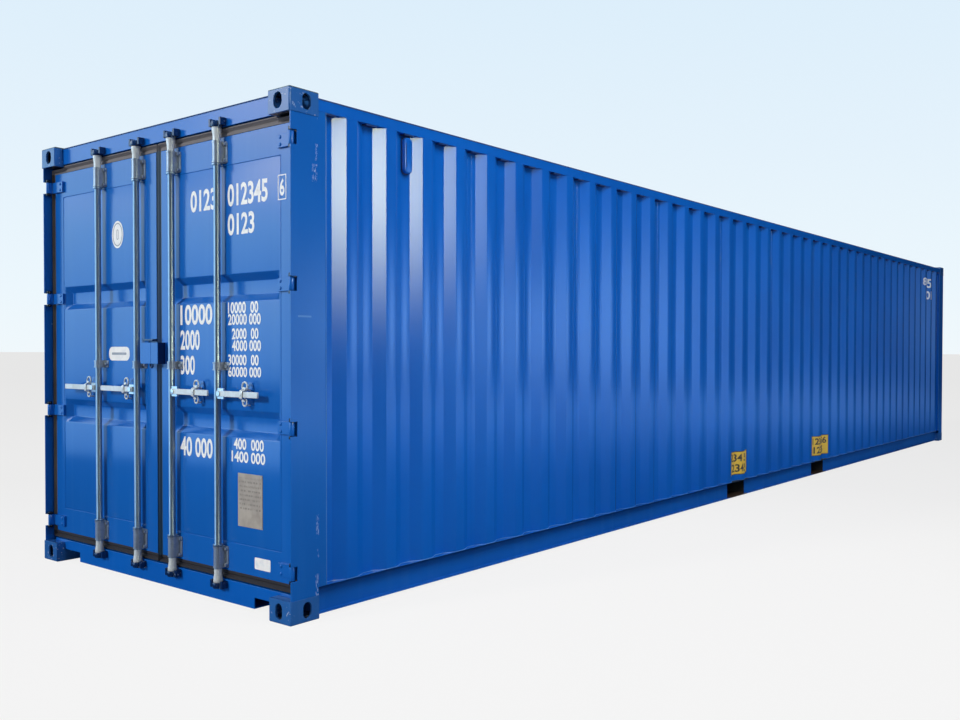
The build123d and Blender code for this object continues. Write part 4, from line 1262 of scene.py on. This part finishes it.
def background_rays(tree):
    """One for camera, glossy and transmission rays, nought for the rays that light surfaces."""
    path = node("LightPath", tree=tree).node.outputs
    seen = node("Math", path["Is Camera Ray"], path["Is Glossy Ray"], operation="MAXIMUM")
    return node("Math", seen, path["Is Transmission Ray"], operation="MAXIMUM")


def sky():
    """Pale blue sky that whitens to the horizon, and a plain soft light that stands in for it."""
    world = bpy.data.worlds.new("studio_sky")
    bpy.context.scene.world = world
    tree = glow_tree(world)
    rise = node("SeparateXYZ", node("TexCoord", tree=tree, output="Generated"), output="Z")
    shade = node("ValToRGB", rise, stops=[(0.0, "#f0f8fc"), (0.06, "#ecf7fd"), (0.20, "#e4f2fc"),
                                          (0.36, "#dceefb")])
    shown = node("Background", shade, 1.0)
    light = node("Background", "#f3f6f8", soft_light, tree=tree)
    node("OutputWorld", node("MixShader", background_rays(tree), light, shown))


def studio_floor():
    """Pale floor that keeps the container's shadow, with a painted pool of light that makes it a little paler
    near the doors.
    """
    mesh = bpy.data.meshes.new("studio_floor")
    corners = floor_reach * np.array([(-1, -1, 0), (1, -1, 0), (1, 1, 0), (-1, 1, 0)])
    mesh.from_pydata(corners.tolist(), [], [(0, 1, 2, 3)])
    finish = bpy.data.materials.new("pale_studio_floor")
    tree = glow_tree(finish)
    place = node("TexCoord", tree=tree, output="Object")
    away = node("VectorMath", place, (door_x, -half_width, 0), operation="DISTANCE")
    pool = node("ValToRGB", node("MapRange", away, 0.0, pool_reach), stops=[
        (0.0, "#f7f7f7"), (0.09, "#f5f5f5"), (0.16, "#f0f0f0"), (0.4, "#ededed"), (1.0, "#ebebeb")])
    glow = node("Emission", pool, floor_glow)
    matt = node("BsdfDiffuse", "#a8a8a8", tree=tree)
    share = node("Math", background_rays(tree), floor_share, operation="MULTIPLY")
    node("OutputMaterial", node("MixShader", share, matt, glow))
    mesh.materials.append(finish)
    made = put("studio_floor", mesh)
    made.visible_glossy = False


def card(name, corner, opposite, axis, span, stops, strength=1.0, fade_span=None, fade=()):
    """A graded card that only gloss sees, between two corners of an upright or level rectangle.

    Its colours run along an axis between the two ends of a span. A fade dims it along the length by greys.
    """
    (x_start, y_start, z_start), (x_end, y_end, z_end) = corner, opposite
    level = z_start == z_end
    corners = [corner, (x_end, y_start if level else y_end, z_start),
               opposite, (x_start, y_end if level else y_start, z_end)]
    mesh = bpy.data.meshes.new(name)
    mesh.from_pydata(corners, [], [(0, 1, 2, 3)])
    finish = bpy.data.materials.new(name)
    tree = glow_tree(finish)
    parts = node("SeparateXYZ", node("TexCoord", tree=tree, output="Object")).node.outputs
    power = strength
    if fade:
        greys = [(place, "#" + 3 * grey) for place, grey in fade]
        dimmed = node("ValToRGB", node("MapRange", parts["X"], *fade_span), stops=greys)
        power = node("Math", dimmed, strength, operation="MULTIPLY")
    colour = node("ValToRGB", node("MapRange", parts[axis], *span), stops=stops)
    node("OutputMaterial", node("Emission", colour, power))
    mesh.materials.append(finish)
    made = put(name, mesh)
    made.visible_camera = False
    made.visible_diffuse = False
    made.visible_shadow = False


def lights():
    """A soft low sun in front of the doors, a high soft box beside the wall, and cards for the gloss."""
    lamp("sun", "SUN", (-10, 3.5, 4.5), (0, 0, 0), sun_strength, (sun_angle,), "#fff8ee")
    lamp("side_soft_box", "AREA", (-4.8, -7.0, 8.0), (-4.6, -1.2, 1.6), soft_box_power, (6.0, 4.0))
    side_cards()
    door_cards()
    ground_cards()


def side_cards():
    """What the side wall mirrors: in the slopes of its first ribs, of its next ribs, and in its flats."""
    card("rib_card", (-8.4, -9.4, 1.5), (-4.5, -9.4, 4.6), "Z", (1.5, 3.4),
         [(0.0, "#000000"), (0.33, "#7c7e6c"), (0.55, "#b4b79c"), (1.0, "#fbffd6")], 22.0, (-8.4, -4.5),
         [(0.0, "98"), (0.28, "9c"), (0.36, "b0"), (0.46, "f4"), (0.525, "ff"), (0.68, "f4"), (0.82, "c8"),
          (1.0, "95")])
    card("side_card", (-4.5, -9.5, 2.3), (-2.8, -9.5, 16.0), "Z", (2.3, 5.0),
         [(0.0, "#9cc4ee"), (0.3, "#cfe8ff"), (1.0, "#cfe8ff")], 7.0, (-4.5, -2.8),
         [(0.0, "ff"), (0.15, "e2"), (0.41, "b3"), (0.7, "7c"), (1.0, "45")])
    card("far_card", (-80, -60, 0.0), (900, -60, 120.0), "Z", (0.0, 20.0),
         [(0.0, "#93c4ff"), (0.32, "#93c4ff"), (0.43, "#6794cc"), (0.60, "#244f86"), (0.80, "#08234c"),
          (1.0, "#041d40")], 8.0, (-20.0, 180.0),
         [(0.0, "30"), (0.075, "50"), (0.105, "e0"), (0.15, "f4"), (0.18, "a0"), (0.21, "40"), (0.27, "30"),
          (0.33, "bc"), (0.36, "ff"), (0.41, "d8"), (0.46, "90"), (0.51, "3c"), (0.58, "1c"), (0.70, "0c"),
          (1.0, "04")])


def door_cards():
    """What the doors mirror, a dark card beyond them, and a flag that keeps the rib card out of the roof."""
    card("door_card", (-45, 8.0, 0.0), (-6.3, 8.0, 14.0), "Z", (0.0, 8.0),
         [(0.0, "#5a86b5"), (0.16, "#79a4ca"), (0.42, "#93bacf"), (0.55, "#a5c0d6"), (0.64, "#7d9fc2"),
          (1.0, "#6a92bc")], 5.2, (-15.0, -8.0), [(0.0, "ff"), (0.35, "ff"), (0.7, "d9"), (1.0, "d2")])
    card("corner_card", (-20, 7.8, 4.5), (-11.5, 7.8, 9.0), "Z", (4.5, 6.0),
         [(0.0, "#b8cddc"), (1.0, "#eef4f8")], 5.0)
    card("door_sky_card", (-45, -60, 14.0), (-6.3, 8.0, 14.0), "X", (-45.0, -6.3),
         [(0.0, "#7fb0e4"), (1.0, "#6fa3dc")])
    card("dark_card", (-22, -60, 0.0), (-22, 2.0, 12.0), "Z", (0.0, 12.0),
         [(0.0, "#2c3a48"), (1.0, "#3a4a5c")])
    card("roof_flag_card", (-6.3, -1.225, 2.593), (6.3, -1.225, 3.3), "Z", (2.5, 3.3),
         [(0.0, "#0c1c30"), (1.0, "#1c3450")])


def ground_cards():
    """What the gloss sees of the ground, beside the wall and in front of the doors."""
    card("side_ground_card", (-70, -70, 0.002), (500, -1.3, 0.002), "Y", (-12.0, -3.5),
         [(0.0, "#7ea6dd"), (0.45, "#5584c4"), (1.0, "#0b2448")], 4.4, (-6.0, 34.0),
         [(0.0, "44"), (0.15, "e6"), (0.25, "ff"), (0.42, "ff"), (0.58, "70"), (0.78, "20"), (1.0, "08")])
    card("door_ground_card", (-70, -1.3, 0.002), (70, 70, 0.002), "X", (-14.0, -6.0),
         [(0.0, "#4d82c0"), (0.5, "#2c5d9c"), (1.0, "#143c74")])


bpy.context.scene.view_settings.view_transform = "Standard"
dress_nodes()
side_sheets()
rail_shade_strips()
edge_sealant()
front_sheet()
roof_sheet()
door_sheets()
door_seals()
rod_brackets()
handle_retainers()
handles()
rod_ends()
lock_boxes()
vents()
hinge_rivets()
plate_rivets()
door_markings()
labels()
stickers()
wall_marks()
sky()
studio_floor()
lights()
camera()
